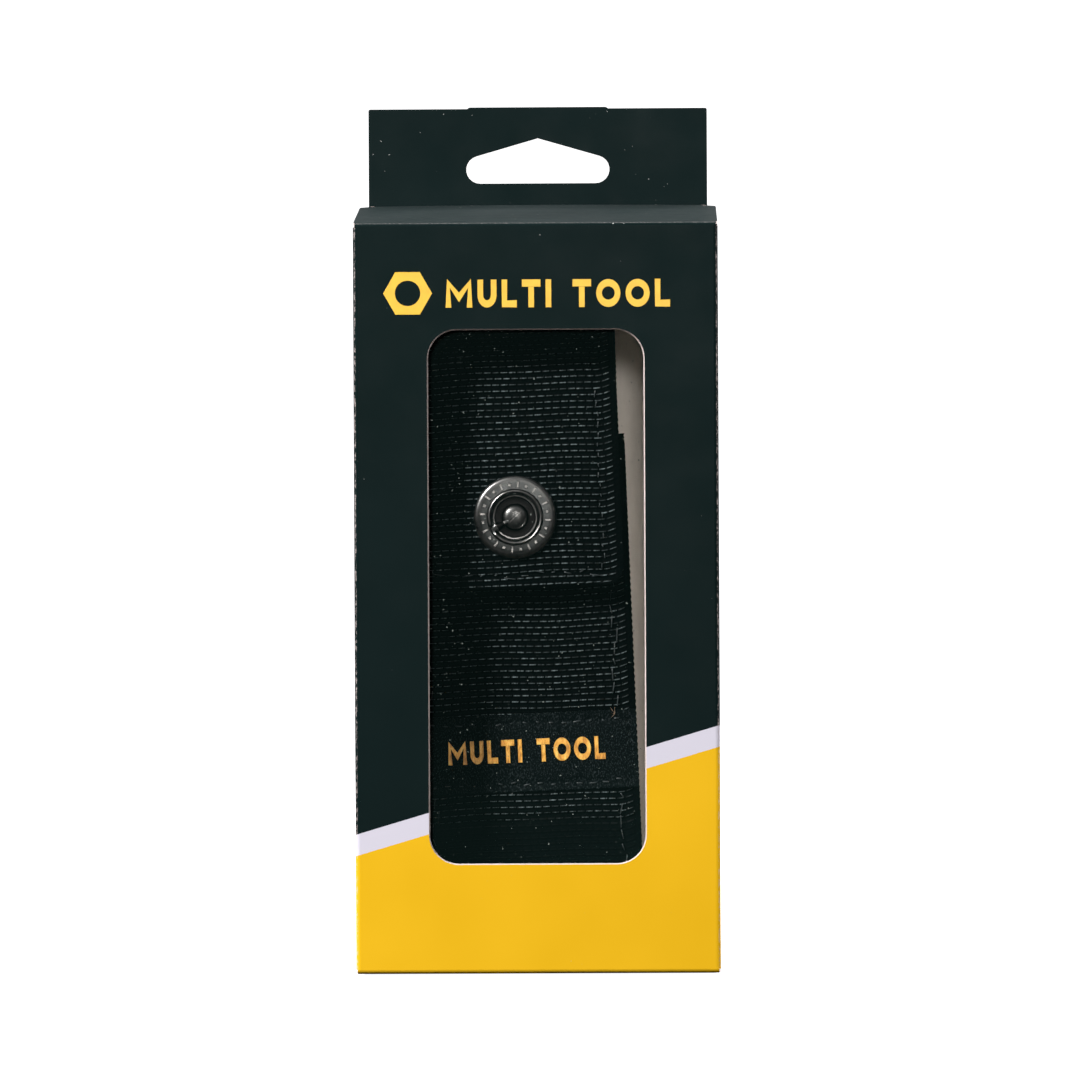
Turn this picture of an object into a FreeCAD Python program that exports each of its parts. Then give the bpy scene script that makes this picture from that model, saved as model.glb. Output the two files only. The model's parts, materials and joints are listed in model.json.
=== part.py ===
"""Boxed folding multi tool: a hanging window carton, a webbing belt pouch and the closed tool.

Units are millimetres. The origin is the centre of the carton's footprint, +Z is up and the
window faces -Y. Carton parts are drawn where they stand. The pouch and the tool are drawn
upright about their own centre line, then leant over together by place_in_carton().
"""

import math
import os

import FreeCAD
import Part

Vec = FreeCAD.Vector
X_AXIS, Y_AXIS = Vec(1, 0, 0), Vec(0, 1, 0)

# Carton: outside sizes and board
WIDTH, DEPTH, HEIGHT = 70.0, 40.0, 144.0
BOARD = 0.5
CREASE_GAP = 0.6          # how far a wall stops short of the crease beside it
TONGUE_GAP = 0.9          # the same for a tongue, which folds back further
FRONT_Y, BACK_Y = -DEPTH / 2, DEPTH / 2

# Window in the front panel, and the clear film glued behind it
WINDOW_WIDTH, WINDOW_LOW, WINDOW_HIGH = 41.3, 21.1, 123.4
WINDOW_RADIUS = 5.5
FILM, FILM_MARGIN = 0.2, 4.6

# Hanging tab above the back panel, and its slot
TAB_HALF_WIDTH, TAB_TOP, TAB_LIP = 33.3, 168.0, 0.3
TAB_LIP_HALF_WIDTH = 13.5
SLOT_HALF_WIDTH, SLOT_RADIUS, SLOT_LOW, SLOT_PEAK = 14.1, 2.75, 153.3, 162.2
DOUBLER_LOW = 126.0

# Tuck closures at the two ends, both creased to the front panel
LID_HALF_WIDTH, LID_LENGTH, LID_START, LID_CORNER = 34.7, 38.9, 0.3, 3.0
TOP_LID_RISE = 5.0        # the tucked lid stands this much prouder at the back
TONGUE_LENGTH, TONGUE_HALF_WIDTH, TONGUE_LEAN = 13.0, 33.0, 18.0
DUST_LENGTH, DUST_FRONT, DUST_TIP_FRONT, DUST_BACK = 13.0, 6.0, 15.5, 33.0
BOTTOM_DUST_Z = 0.65
GLUE_FLAP_WIDTH, GLUE_FLAP_LOW, GLUE_FLAP_HIGH = 12.0, 16.0, 125.0

# Pouch: one run of webbing with elastic sides, leaning inside the carton
POUCH_X, POUCH_Z, POUCH_LEAN = -0.94, 2.2, -2.2
WEBBING = 1.4
POCKET_HALF, STRAP_HALF = 21.6, 20.5
POCKET_FRONT_Y, POUCH_BACK_Y = -8.0, 13.0
POCKET_MOUTH, BASE_TURN = 100.7, 4.0
FLAP_FRONT_Y, POUCH_TOP = -12.2, 123.0
FLAP_LOW, HEM_HEIGHT, FLAP_CORNER = 71.8, 6.5, 3.0
MOUTH_HEM = 7.0
ELASTIC, ELASTIC_WALL, ELASTIC_EDGE, ELASTIC_TOP = 0.7, 16.7, 21.4, 98.0
LABEL, LABEL_LOW, LABEL_HIGH = 0.4, 32.4, 47.4
FOLD_RADIUS = (POUCH_BACK_Y - FLAP_FRONT_Y) / 2
FOLD_Y = (POUCH_BACK_Y + FLAP_FRONT_Y) / 2
FOLD_W = POUCH_TOP - FOLD_RADIUS

# Belt loop on the pouch's back
LOOP_HALF, LOOP_GAP, LOOP_SEAT, LOOP_RAMP = 15.0, 4.3, 8.0, 5.0
LOOP_STRAP, LOOP_LOW, LOOP_HIGH = 1.2, 36.0, 100.0

# Snap fastener
SNAP_W = 85.4
CAP_RADIUS, CAP_HEIGHT, CAP_SKIRT = 7.95, 1.7, 0.9
SOCKET_RADIUS, SOCKET_BORE, SOCKET_HEIGHT, SOCKET_WALL = 6.0, 3.2, 2.1, 0.4
STUD_BASE_RADIUS, STUD_BASE, STUD_RADIUS, STUD_HEIGHT = 5.5, 0.5, 2.6, 1.7
POST_RADIUS, RIVET_CLEARANCE = 1.5, 0.1
EYELET_RADIUS, EYELET_FLANGE, EYELET_REACH = 4.5, 0.5, 2.9

# Folding tool, closed, centred on TOOL_Y in the pouch
TOOL_Y, TOOL_LOW, TOOL_LENGTH, TOOL_HALF = 2.4, 2.5, 108.0, 16.5
HANDLE_HALF_DEPTH, HANDLE_WALL, HANDLE_SPINE = 8.0, 1.4, 1.3
MID_GAP = 0.3             # from the tool's centre line to each handle
HANDLE_END_RADIUS = 7.0
BLADE_BAY, BLADE_THICK = 5.5, 1.9   # mid-plane of the outer blades, and their thickness
LINER_Y, LINER = 3.9, 0.7
HANDLE_PIVOT_X, HANDLE_PIVOT_W = 10.5, TOOL_LENGTH - 6.3
HEAD_PIVOT_W = HANDLE_PIVOT_W - 4.5
TOOL_PIVOT_X, TOOL_PIVOT_W = 10.0, 6.6
PIN_RADIUS, PIN_CLEARANCE = 1.8, 0.05
JAW_THICK, JAW_LENGTH, JAW_GAP = 6.4, 53.0, 0.25
DRIVER_THICK, DRIVER_PITCH = 2.0, 2.3
SPRING_X, SPRING_THICK, SPRING_LOW, SPRING_HIGH = 14.2, 0.8, 10.0, 90.0

# Jaw outlines: (distance from the centre line, height above the plier rivet)
JAW_BOSS = 7.0
JAW_NOSE = [(JAW_GAP, -JAW_LENGTH), (2.6, -JAW_LENGTH), (6.8, -16.0), (7.4, -6.0), (JAW_GAP, -6.0)]
JAW_TANG = [(5.0, -7.5), (7.4, -6.0), (13.0, 2.0), (13.0, 7.0), (8.0, 7.0), (5.0, 3.0)]
JAW_NECK = [(0.3, -10.0), (8.0, -8.0), (8.0, 4.0), (0.3, 6.0)]

# Outer blade outlines: (distance from the centre line, height above the handle's top pin)
BLADE_TANG = [(6.5, 3.5), (14.0, 3.5), (14.0, -4.5)]
KNIFE = BLADE_TANG + [(14.0, -68.5), (11.5, -77.5), (5.0, -58.5), (4.5, -8.5)]
SHEEPSFOOT = BLADE_TANG + [(14.0, -66.5), (5.0, -73.0), (4.5, -8.5)]
FILE_BLADE = BLADE_TANG + [(14.0, -74.5), (4.8, -74.5), (4.8, -8.5)]
SAW_LOW, SAW_HIGH, TOOTH_PITCH, TOOTH_DEPTH, SAW_EDGE = -72.5, -12.5, 2.0, 1.1, 5.2

# Inner tool outlines: (distance from the centre line, height above the tool's lower end)
TOOL_TANG = [(6.0, 2.8), (13.6, 2.8), (13.6, 12.0)]
LARGE_SCREWDRIVER = TOOL_TANG + [(12.0, 17.0), (12.0, 44.0), (5.0, 44.0), (5.0, 17.0)]
SMALL_SCREWDRIVER = TOOL_TANG + [(10.5, 18.0), (10.5, 40.0), (7.5, 40.0), (6.0, 12.0)]
AWL = TOOL_TANG + [(12.6, 30.0), (10.0, 42.0), (7.0, 30.0), (6.0, 12.0)]
CAN_OPENER = TOOL_TANG + [(13.6, 26.0), (11.0, 38.0), (7.0, 41.0), (5.5, 34.0), (8.6, 30.0), (6.0, 24.0)]
BIT_DRIVER = TOOL_TANG + [(12.0, 18.0), (12.0, 43.0), (7.0, 43.0), (7.0, 18.0)]
CROSS_POINT_DRIVER = TOOL_TANG + [(11.8, 18.0), (11.8, 38.0), (9.6, 43.0), (7.4, 38.0)]


def block(x0, x1, y0, y1, z0, z1):
    """A box between two corners."""
    return Part.makeBox(x1 - x0, y1 - y0, z1 - z0, Vec(x0, y0, z0))


def mirrored(x0, x1, side):
    """The span x0 to x1 on the side +1, or its mirror image on the side -1, low end first."""
    return (x0, x1) if side > 0 else (-x1, -x0)


def prism(points, direction):
    """A polygon pushed along direction."""
    return Part.Face(Part.makePolygon(points + points[:1])).extrude(direction)


def prism_x(points, x0, x1):
    """A (y, z) polygon from x0 to x1."""
    return prism([Vec(x0, y, z) for y, z in points], Vec(x1 - x0, 0, 0))


def prism_y(points, y0, y1):
    """An (x, z) polygon from y0 to y1."""
    return prism([Vec(x, y0, z) for x, z in points], Vec(0, y1 - y0, 0))


def prism_z(points, z0, z1):
    """An (x, y) polygon from z0 to z1."""
    return prism([Vec(x, y, z0) for x, y in points], Vec(0, 0, z1 - z0))


def rod_y(x, z, radius, y0, y1):
    """A round rod along Y."""
    return Part.makeCylinder(radius, y1 - y0, Vec(x, y0, z), Y_AXIS)


def round_edges(shape, direction, radius, keep=lambda point: True):
    """Fillets the straight edges along direction whose middle point passes keep."""
    chosen = []
    for edge in shape.Edges:
        if len(edge.Vertexes) != 2:
            continue
        run = edge.Vertexes[1].Point - edge.Vertexes[0].Point
        middle = (edge.Vertexes[1].Point + edge.Vertexes[0].Point) * 0.5
        if run.Length > 1e-6 and run.cross(direction).Length < 1e-6 * run.Length and keep(middle):
            chosen.append(edge)
    return shape.makeFillet(radius, chosen)


def turned(shape, angle, centre, axis=X_AXIS):
    """A copy turned by angle degrees about axis through centre."""
    copy = shape.copy()
    copy.rotate(centre, axis, angle)
    return copy


# ---------------------------------------------------------------- carton

def front_panel():
    """Front wall with its rounded window."""
    panel = block(-WIDTH / 2, WIDTH / 2, FRONT_Y, FRONT_Y + BOARD, CREASE_GAP, HEIGHT - CREASE_GAP)
    window = block(-WINDOW_WIDTH / 2, WINDOW_WIDTH / 2, FRONT_Y - 1, FRONT_Y + 1, WINDOW_LOW, WINDOW_HIGH)
    return panel.cut(round_edges(window, Y_AXIS, WINDOW_RADIUS))


def side_panel(side):
    """Left (-1) or right (+1) wall, standing between the front and back walls."""
    x0, x1 = mirrored(WIDTH / 2 - BOARD, WIDTH / 2, side)
    low = BOTTOM_DUST_Z + CREASE_GAP
    return block(x0, x1, FRONT_Y + BOARD, BACK_Y - BOARD, low, HEIGHT - CREASE_GAP)


def tangent_point(centre, radius, point, turn):
    """Where a line from point touches a circle; turn +1 or -1 picks which of the two places."""
    away = (point[0] - centre[0], point[1] - centre[1])
    angle = math.atan2(away[1], away[0]) + turn * math.acos(radius / math.hypot(*away))
    return centre[0] + radius * math.cos(angle), centre[1] + radius * math.sin(angle)


def slot_cutter(y0, y1):
    """Hanging slot: a flat bottom, round ends and two slopes up to a peak."""
    middle = SLOT_LOW + SLOT_RADIUS
    end_x = SLOT_HALF_WIDTH - SLOT_RADIUS
    peak = (0.0, SLOT_PEAK)
    right = tangent_point((end_x, middle), SLOT_RADIUS, peak, -1)
    at = lambda x, z: Vec(x, y0, z)
    wire = Part.Wire([
        Part.LineSegment(at(-end_x, SLOT_LOW), at(end_x, SLOT_LOW)).toShape(),
        Part.Arc(at(end_x, SLOT_LOW), at(SLOT_HALF_WIDTH, middle), at(*right)).toShape(),
        Part.LineSegment(at(*right), at(*peak)).toShape(),
        Part.LineSegment(at(*peak), at(-right[0], right[1])).toShape(),
        Part.Arc(at(-right[0], right[1]), at(-SLOT_HALF_WIDTH, middle), at(-end_x, SLOT_LOW)).toShape(),
    ])
    return Part.Face(wire).extrude(Vec(0, y1 - y0, 0))


def back_panel():
    """Back wall, running on up as the rear layer of the hanging tab."""
    y0, y1 = BACK_Y - BOARD, BACK_Y
    wall = block(-WIDTH / 2, WIDTH / 2, y0, y1, 0, HEIGHT)
    tab = block(-TAB_HALF_WIDTH, TAB_HALF_WIDTH, y0, y1, HEIGHT, TAB_TOP)
    lip = block(-TAB_LIP_HALF_WIDTH, TAB_LIP_HALF_WIDTH, y0, y1, TAB_TOP, TAB_TOP + TAB_LIP)
    return wall.fuse([tab, lip]).removeSplitter().cut(slot_cutter(y0 - 1, y1 + 1))


def tab_doubler():
    """Front layer of the hanging tab, glued down inside the back wall."""
    y0, y1 = BACK_Y - 2 * BOARD, BACK_Y - BOARD
    layer = block(-TAB_HALF_WIDTH, TAB_HALF_WIDTH, y0, y1, DOUBLER_LOW, TAB_TOP)
    return layer.cut(slot_cutter(y0 - 1, y1 + 1))


def glue_flap():
    """Seam strip of the left wall, glued inside the back wall."""
    x0 = -WIDTH / 2 + BOARD
    return block(x0, x0 + GLUE_FLAP_WIDTH, BACK_Y - 2 * BOARD, BACK_Y - BOARD, GLUE_FLAP_LOW, GLUE_FLAP_HIGH)


def window_film():
    """Clear film behind the window."""
    half = WINDOW_WIDTH / 2 + FILM_MARGIN
    y0 = FRONT_Y + BOARD
    return block(-half, half, y0, y0 + FILM, WINDOW_LOW - FILM_MARGIN, WINDOW_HIGH + FILM_MARGIN)


def lid_panel(side):
    """End lid lying flat from its crease; side +1 is the top lid and -1 the bottom one."""
    z0, z1 = (HEIGHT - BOARD, HEIGHT) if side > 0 else (0, BOARD)
    panel = block(-LID_HALF_WIDTH, LID_HALF_WIDTH, FRONT_Y + LID_START, FRONT_Y + LID_LENGTH, z0, z1)
    free_end = FRONT_Y + LID_LENGTH - 0.1
    return round_edges(panel, Vec(0, 0, 1), LID_CORNER, lambda point: point.y > free_end)


def tuck_tongue(side):
    """Tongue hanging from the free edge of a flat lid, leaning in towards the front."""
    hinge_z = HEIGHT if side > 0 else 0.0
    hinge_y = FRONT_Y + LID_LENGTH
    z_near, z_far = hinge_z - side * TONGUE_GAP, hinge_z - side * TONGUE_LENGTH
    low, high = min(z_near, z_far), max(z_near, z_far)
    tongue = block(-TONGUE_HALF_WIDTH, TONGUE_HALF_WIDTH, hinge_y - BOARD, hinge_y, low, high)
    tip = lambda point: abs(point.z - z_far) < 0.1
    tongue = round_edges(tongue, Y_AXIS, 6.0, tip)
    return turned(tongue, -side * TONGUE_LEAN, Vec(0, hinge_y, hinge_z))


def top_lid_slope():
    """Angle of the top lid above level, in degrees."""
    return math.degrees(math.asin(TOP_LID_RISE / LID_LENGTH))


def top_closure():
    """Top lid and tongue. The lid slopes up to the back, and the tongue keeps its own lean."""
    slope = top_lid_slope()
    crease = Vec(0, FRONT_Y, HEIGHT)
    lid = turned(lid_panel(+1), slope, crease)
    old_edge = Vec(0, FRONT_Y + LID_LENGTH, HEIGHT)
    reach = LID_LENGTH * math.cos(math.radians(slope))
    new_edge = Vec(0, FRONT_Y + reach, HEIGHT + TOP_LID_RISE)
    tongue = tuck_tongue(+1)
    tongue.translate(new_edge - old_edge)
    return {"top_lid": lid, "top_tuck_tongue": tongue}


def dust_flap(side, low):
    """Side flap under a lid: left (-1) or right (+1), with its lower face at the height low."""
    edge, tip = WIDTH / 2 - LID_START, WIDTH / 2 - DUST_LENGTH
    points = [
        (edge, FRONT_Y + DUST_FRONT), (edge, FRONT_Y + DUST_BACK),
        (tip, FRONT_Y + DUST_BACK - 4.0), (tip, FRONT_Y + DUST_TIP_FRONT),
    ]
    flap = prism_z([(side * x, y) for x, y in points], low, low + BOARD)
    corner = lambda point: abs(abs(point.x) - tip) < 0.1
    return round_edges(flap, Vec(0, 0, 1), 2.5, corner)


def carton():
    """Every carton part by name."""
    parts = {
        "carton_front_panel": front_panel(),
        "carton_left_panel": side_panel(-1),
        "carton_right_panel": side_panel(+1),
        "carton_back_panel": back_panel(),
        "hang_tab_doubler": tab_doubler(),
        "carton_glue_flap": glue_flap(),
        "window_film": window_film(),
        "bottom_lid": lid_panel(-1),
        "bottom_tuck_tongue": tuck_tongue(-1),
        "top_left_dust_flap": dust_flap(-1, HEIGHT - BOARD),
        "top_right_dust_flap": dust_flap(+1, HEIGHT - BOARD),
        "bottom_left_dust_flap": dust_flap(-1, BOTTOM_DUST_Z),
        "bottom_right_dust_flap": dust_flap(+1, BOTTOM_DUST_Z),
    }
    parts.update(top_closure())
    return parts


# ---------------------------------------------------------------- pouch

def fold_half(front, half_width):
    """Quarter turn of webbing over the pouch's top, in front of the crown or behind it."""
    ring = Part.makeCylinder(FOLD_RADIUS, 2 * half_width, Vec(-half_width, FOLD_Y, FOLD_W), X_AXIS)
    hole = Part.makeCylinder(FOLD_RADIUS - WEBBING, 2 * half_width, Vec(-half_width, FOLD_Y, FOLD_W), X_AXIS)
    reach = (FOLD_Y - FOLD_RADIUS - 1, FOLD_Y) if front else (FOLD_Y, FOLD_Y + FOLD_RADIUS + 1)
    quarter = block(-half_width, half_width, *reach, FOLD_W, POUCH_TOP + 1)
    return ring.cut(hole).common(quarter)


def pouch_front():
    """Front of the pocket, with its mouth hemmed on the inside."""
    y0 = POCKET_FRONT_Y
    face = block(-POCKET_HALF, POCKET_HALF, y0, y0 + WEBBING, BASE_TURN, POCKET_MOUTH)
    hem_half = ELASTIC_WALL - 0.4
    hem_low = POCKET_MOUTH - MOUTH_HEM / 2
    hem = block(-hem_half, hem_half, y0 + WEBBING, y0 + WEBBING + 0.8, hem_low, POCKET_MOUTH)
    hole = rod_y(0, SNAP_W, POST_RADIUS + RIVET_CLEARANCE, y0 - 1, y0 + WEBBING + 1)
    return face.fuse(hem).removeSplitter().cut(hole)


def pouch_base():
    """Webbing turned under the pocket, front wall to back wall."""
    outer = block(-POCKET_HALF, POCKET_HALF, POCKET_FRONT_Y, POUCH_BACK_Y, 0, BASE_TURN)
    outer = round_edges(outer, X_AXIS, BASE_TURN - 0.01, lambda point: point.z < 0.1)
    inner = block(
        -POCKET_HALF, POCKET_HALF, POCKET_FRONT_Y + WEBBING, POUCH_BACK_Y - WEBBING, WEBBING, BASE_TURN + 1
    )
    inner = round_edges(inner, X_AXIS, BASE_TURN - WEBBING, lambda point: point.z < WEBBING + 0.1)
    return outer.cut(inner)


def pouch_back():
    """Back wall of the pouch up to the crown of the fold."""
    y0, y1 = POUCH_BACK_Y - WEBBING, POUCH_BACK_Y
    lower = block(-POCKET_HALF, POCKET_HALF, y0, y1, BASE_TURN, POCKET_MOUTH)
    upper = block(-STRAP_HALF, STRAP_HALF, y0, y1, POCKET_MOUTH, FOLD_W)
    return lower.fuse([upper, fold_half(False, STRAP_HALF)]).removeSplitter()


def pouch_flap():
    """Front half of the fold and the flap below it, hemmed behind its lower edge."""
    y0 = FLAP_FRONT_Y
    face = block(-STRAP_HALF, STRAP_HALF, y0, y0 + WEBBING, FLAP_LOW, FOLD_W)
    hem = block(-STRAP_HALF, STRAP_HALF, y0 + WEBBING, y0 + 2 * WEBBING, FLAP_LOW, FLAP_LOW + HEM_HEIGHT)
    flap = face.fuse(hem).removeSplitter()
    flap = round_edges(flap, Y_AXIS, FLAP_CORNER, lambda point: point.z < FLAP_LOW + 0.1)
    hole = rod_y(0, SNAP_W, POST_RADIUS + RIVET_CLEARANCE, y0 - 1, y0 + WEBBING + 1)
    return flap.fuse(fold_half(True, STRAP_HALF)).removeSplitter().cut(hole)


def elastic_gusset(side):
    """Stretch side wall with a flange sewn to the front and to the back."""
    y0, y1 = POCKET_FRONT_Y + WEBBING, POUCH_BACK_Y - WEBBING
    low = BASE_TURN
    wall = mirrored(ELASTIC_WALL, ELASTIC_WALL + ELASTIC, side)
    flange = mirrored(ELASTIC_WALL, ELASTIC_EDGE, side)
    body = block(*wall, y0, y1, low, ELASTIC_TOP)
    front = block(*flange, y0, y0 + ELASTIC, low, ELASTIC_TOP)
    back = block(*flange, y1 - ELASTIC, y1, low, ELASTIC_TOP)
    return body.fuse([front, back]).removeSplitter()


def belt_loop():
    """Strap sewn flat at both ends and standing clear of the back between them."""
    y_in = POUCH_BACK_Y
    y_out = POUCH_BACK_Y + LOOP_GAP
    low, high = LOOP_LOW, LOOP_HIGH
    inner = [
        (y_in, low), (y_in, low + LOOP_SEAT), (y_out, low + LOOP_SEAT + LOOP_RAMP),
        (y_out, high - LOOP_SEAT - LOOP_RAMP), (y_in, high - LOOP_SEAT), (y_in, high),
    ]
    outer = [(y + LOOP_STRAP, z) for y, z in inner]
    return prism_x(inner + outer[::-1], -LOOP_HALF, LOOP_HALF)


def woven_label():
    """Ribbon label across the pocket, caught in both side seams."""
    return block(-POCKET_HALF, POCKET_HALF, POCKET_FRONT_Y - LABEL, POCKET_FRONT_Y, LABEL_LOW, LABEL_HIGH)


def snap_cap():
    """Pressed cap: a flat rim, a groove, a ring, a dish and a dome, with a post behind."""
    back = FLAP_FRONT_Y
    top = back - CAP_HEIGHT
    profile = [
        (0.0, top + 0.1), (1.6, top + 0.25), (2.6, top + 1.0), (3.3, top + 1.0), (3.7, top + 0.35),
        (4.3, top + 0.35), (4.6, top + 0.8), (4.9, top + 0.2), (5.2, top), (7.3, top),
        (CAP_RADIUS, top + 0.5), (CAP_RADIUS, back - CAP_SKIRT + 0.5), (CAP_RADIUS - 0.6, back), (0.0, back),
    ]
    points = [Vec(radius, y, SNAP_W) for radius, y in profile]
    face = Part.Face(Part.makePolygon(points + points[:1]))
    cap = face.revolve(Vec(0, 0, SNAP_W), Y_AXIS, 360)
    return cap.fuse(rod_y(0, SNAP_W, POST_RADIUS, back - 0.1, back + WEBBING + SOCKET_WALL)).removeSplitter()


def snap_socket():
    """Socket riveted behind the flap, open towards the pocket."""
    y0 = FLAP_FRONT_Y + WEBBING
    body = rod_y(0, SNAP_W, SOCKET_RADIUS, y0, y0 + SOCKET_HEIGHT)
    bore = rod_y(0, SNAP_W, SOCKET_BORE, y0 + SOCKET_WALL, y0 + SOCKET_HEIGHT + 1)
    hole = rod_y(0, SNAP_W, POST_RADIUS + RIVET_CLEARANCE, y0 - 1, y0 + SOCKET_WALL + 1)
    return body.cut(bore.fuse(hole))


def snap_stud():
    """Stud on the pocket's front, standing in the socket."""
    y0 = POCKET_FRONT_Y - STUD_BASE
    base = rod_y(0, SNAP_W, STUD_BASE_RADIUS, y0, POCKET_FRONT_Y)
    head = rod_y(0, SNAP_W, STUD_RADIUS, y0 - STUD_HEIGHT, y0)
    bore = rod_y(0, SNAP_W, POST_RADIUS + RIVET_CLEARANCE, y0 - 1.1, POCKET_FRONT_Y + 1)
    return base.fuse(head).removeSplitter().cut(bore)


def snap_eyelet():
    """Rivet from inside the pocket that holds the stud."""
    inside = POCKET_FRONT_Y + WEBBING
    flange = rod_y(0, SNAP_W, EYELET_RADIUS, inside, inside + EYELET_FLANGE)
    shank = rod_y(0, SNAP_W, POST_RADIUS, inside - EYELET_REACH, inside + EYELET_FLANGE)
    return flange.fuse(shank).removeSplitter()


def pouch():
    """Every pouch part by name."""
    return {
        "pouch_front_panel": pouch_front(),
        "pouch_base": pouch_base(),
        "pouch_back_panel": pouch_back(),
        "pouch_flap": pouch_flap(),
        "left_elastic_gusset": elastic_gusset(-1),
        "right_elastic_gusset": elastic_gusset(+1),
        "belt_loop": belt_loop(),
        "woven_label": woven_label(),
        "snap_cap": snap_cap(),
        "snap_socket": snap_socket(),
        "snap_stud": snap_stud(),
        "snap_eyelet": snap_eyelet(),
    }


# ---------------------------------------------------------------- folding tool

def tool_rod(x, w, radius, half_depth):
    """A rod right through the tool's thickness, w above the tool's lower end."""
    return rod_y(x, TOOL_LOW + w, radius, TOOL_Y - half_depth, TOOL_Y + half_depth)


def tool_plate(points, middle, thick):
    """An (x, w) outline made thick millimetres deep about the depth middle."""
    points = [(x, TOOL_LOW + w) for x, w in points]
    return prism_y(points, TOOL_Y + middle - thick / 2, TOOL_Y + middle + thick / 2)


def pivot_holes(side):
    """Clearance holes for the two pins that cross one handle."""
    radius = PIN_RADIUS + PIN_CLEARANCE
    top = tool_rod(side * HANDLE_PIVOT_X, HANDLE_PIVOT_W, radius, HANDLE_HALF_DEPTH + 1)
    low = tool_rod(side * TOOL_PIVOT_X, TOOL_PIVOT_W, radius, HANDLE_HALF_DEPTH + 1)
    return top.fuse(low)


def handle(side):
    """Channel handle: two side plates and a spine, rounded at both ends."""
    x0, x1 = mirrored(MID_GAP, TOOL_HALF, side)
    depth = HANDLE_HALF_DEPTH
    body = block(x0, x1, TOOL_Y - depth, TOOL_Y + depth, TOOL_LOW, TOOL_LOW + TOOL_LENGTH)
    body = round_edges(body, Y_AXIS, HANDLE_END_RADIUS, lambda point: abs(point.x) > TOOL_HALF - 0.1)
    inner = mirrored(0, TOOL_HALF - HANDLE_SPINE, side)
    y_in = depth - HANDLE_WALL
    channel = block(*inner, TOOL_Y - y_in, TOOL_Y + y_in, TOOL_LOW - 1, TOOL_LOW + TOOL_LENGTH + 1)
    return body.cut(channel).cut(pivot_holes(side))


def liners(side):
    """The two inner side plates of one handle, as a group."""
    x0, x1 = mirrored(MID_GAP + 0.6, SPRING_X - 0.3, side)
    plates = []
    for middle in (-LINER_Y, LINER_Y):
        plate = block(
            x0, x1, TOOL_Y + middle - LINER / 2, TOOL_Y + middle + LINER / 2,
            TOOL_LOW + 1.5, TOOL_LOW + TOOL_LENGTH - 1.5,
        )
        plates.append(plate.cut(pivot_holes(side)))
    return Part.makeCompound(plates)


def jaw_plate(side, outline, middle, thick):
    """Part of one jaw: an outline of (x, height above the plier rivet), thick deep about middle."""
    return tool_plate([(side * x, HEAD_PIVOT_W + up) for x, up in outline], middle, thick)


def plier_jaw(side):
    """One jaw of the plier head, tip down between the handles, with its tang at the top."""
    lap_thick = JAW_THICK / 2 - 0.1
    lap_middle = side * (JAW_THICK / 4 + 0.05)
    boss_y0 = TOOL_Y + lap_middle - lap_thick / 2
    rivet_z = TOOL_LOW + HEAD_PIVOT_W
    nose = jaw_plate(side, JAW_NOSE, 0, JAW_THICK)
    tang = jaw_plate(side, JAW_TANG, 0, JAW_THICK)
    neck = jaw_plate(side, JAW_NECK, lap_middle, lap_thick)
    boss = rod_y(0, rivet_z, JAW_BOSS, boss_y0, boss_y0 + lap_thick)
    jaw = nose.fuse([tang, neck, boss]).removeSplitter()
    other_y0, other_y1 = mirrored(-JAW_THICK, 0, side)
    room_for_other = rod_y(0, rivet_z, JAW_BOSS + 0.3, TOOL_Y + other_y0, TOOL_Y + other_y1)
    wire_notch = tool_rod(side * 3.4, HEAD_PIVOT_W - 11.4, 1.6, JAW_THICK)
    rivet_hole = tool_rod(0, HEAD_PIVOT_W, PIN_RADIUS + PIN_CLEARANCE, JAW_THICK)
    pin_hole = tool_rod(side * HANDLE_PIVOT_X, HANDLE_PIVOT_W, PIN_RADIUS + PIN_CLEARANCE, JAW_THICK)
    return jaw.cut(room_for_other).cut(wire_notch.fuse([rivet_hole, pin_hole]))


def outer_blade(side, bay, outline):
    """A blade in the bay between a handle's plate and its liner, pivoting on the top pin."""
    blade = tool_plate([(side * x, HANDLE_PIVOT_W + up) for x, up in outline], bay, BLADE_THICK)
    hole = tool_rod(side * HANDLE_PIVOT_X, HANDLE_PIVOT_W, PIN_RADIUS + PIN_CLEARANCE, HANDLE_HALF_DEPTH)
    return blade.cut(hole)


def saw_outline():
    """Saw blade outline, with its teeth along the inner edge."""
    teeth = []
    for count in range(round((SAW_HIGH - SAW_LOW) / TOOTH_PITCH)):
        root = SAW_LOW + count * TOOTH_PITCH
        teeth += [(SAW_EDGE, root), (SAW_EDGE + TOOTH_DEPTH, root + TOOTH_PITCH / 2)]
    return BLADE_TANG + [(14.0, SAW_LOW)] + teeth + [(SAW_EDGE, SAW_HIGH)]


def inner_tool(side, place, outline):
    """A small tool folded into a handle's mouth, pivoting on the lower pin."""
    body = tool_plate([(side * x, w) for x, w in outline], place * DRIVER_PITCH, DRIVER_THICK)
    hole = tool_rod(side * TOOL_PIVOT_X, TOOL_PIVOT_W, PIN_RADIUS + PIN_CLEARANCE, HANDLE_HALF_DEPTH)
    return body.cut(hole)


def back_spring(side):
    """Leaf spring along one handle's spine."""
    x0, x1 = mirrored(SPRING_X, SPRING_X + SPRING_THICK, side)
    half = LINER_Y - LINER / 2 - 0.1
    return block(x0, x1, TOOL_Y - half, TOOL_Y + half, TOOL_LOW + SPRING_LOW, TOOL_LOW + SPRING_HIGH)


def cross_pins(x, w, name):
    """The left and right pins at one height, named after what turns on them."""
    flush = HANDLE_HALF_DEPTH - 0.1
    return {
        f"left_{name}": tool_rod(-x, w, PIN_RADIUS, flush),
        f"right_{name}": tool_rod(x, w, PIN_RADIUS, flush),
    }


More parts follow.
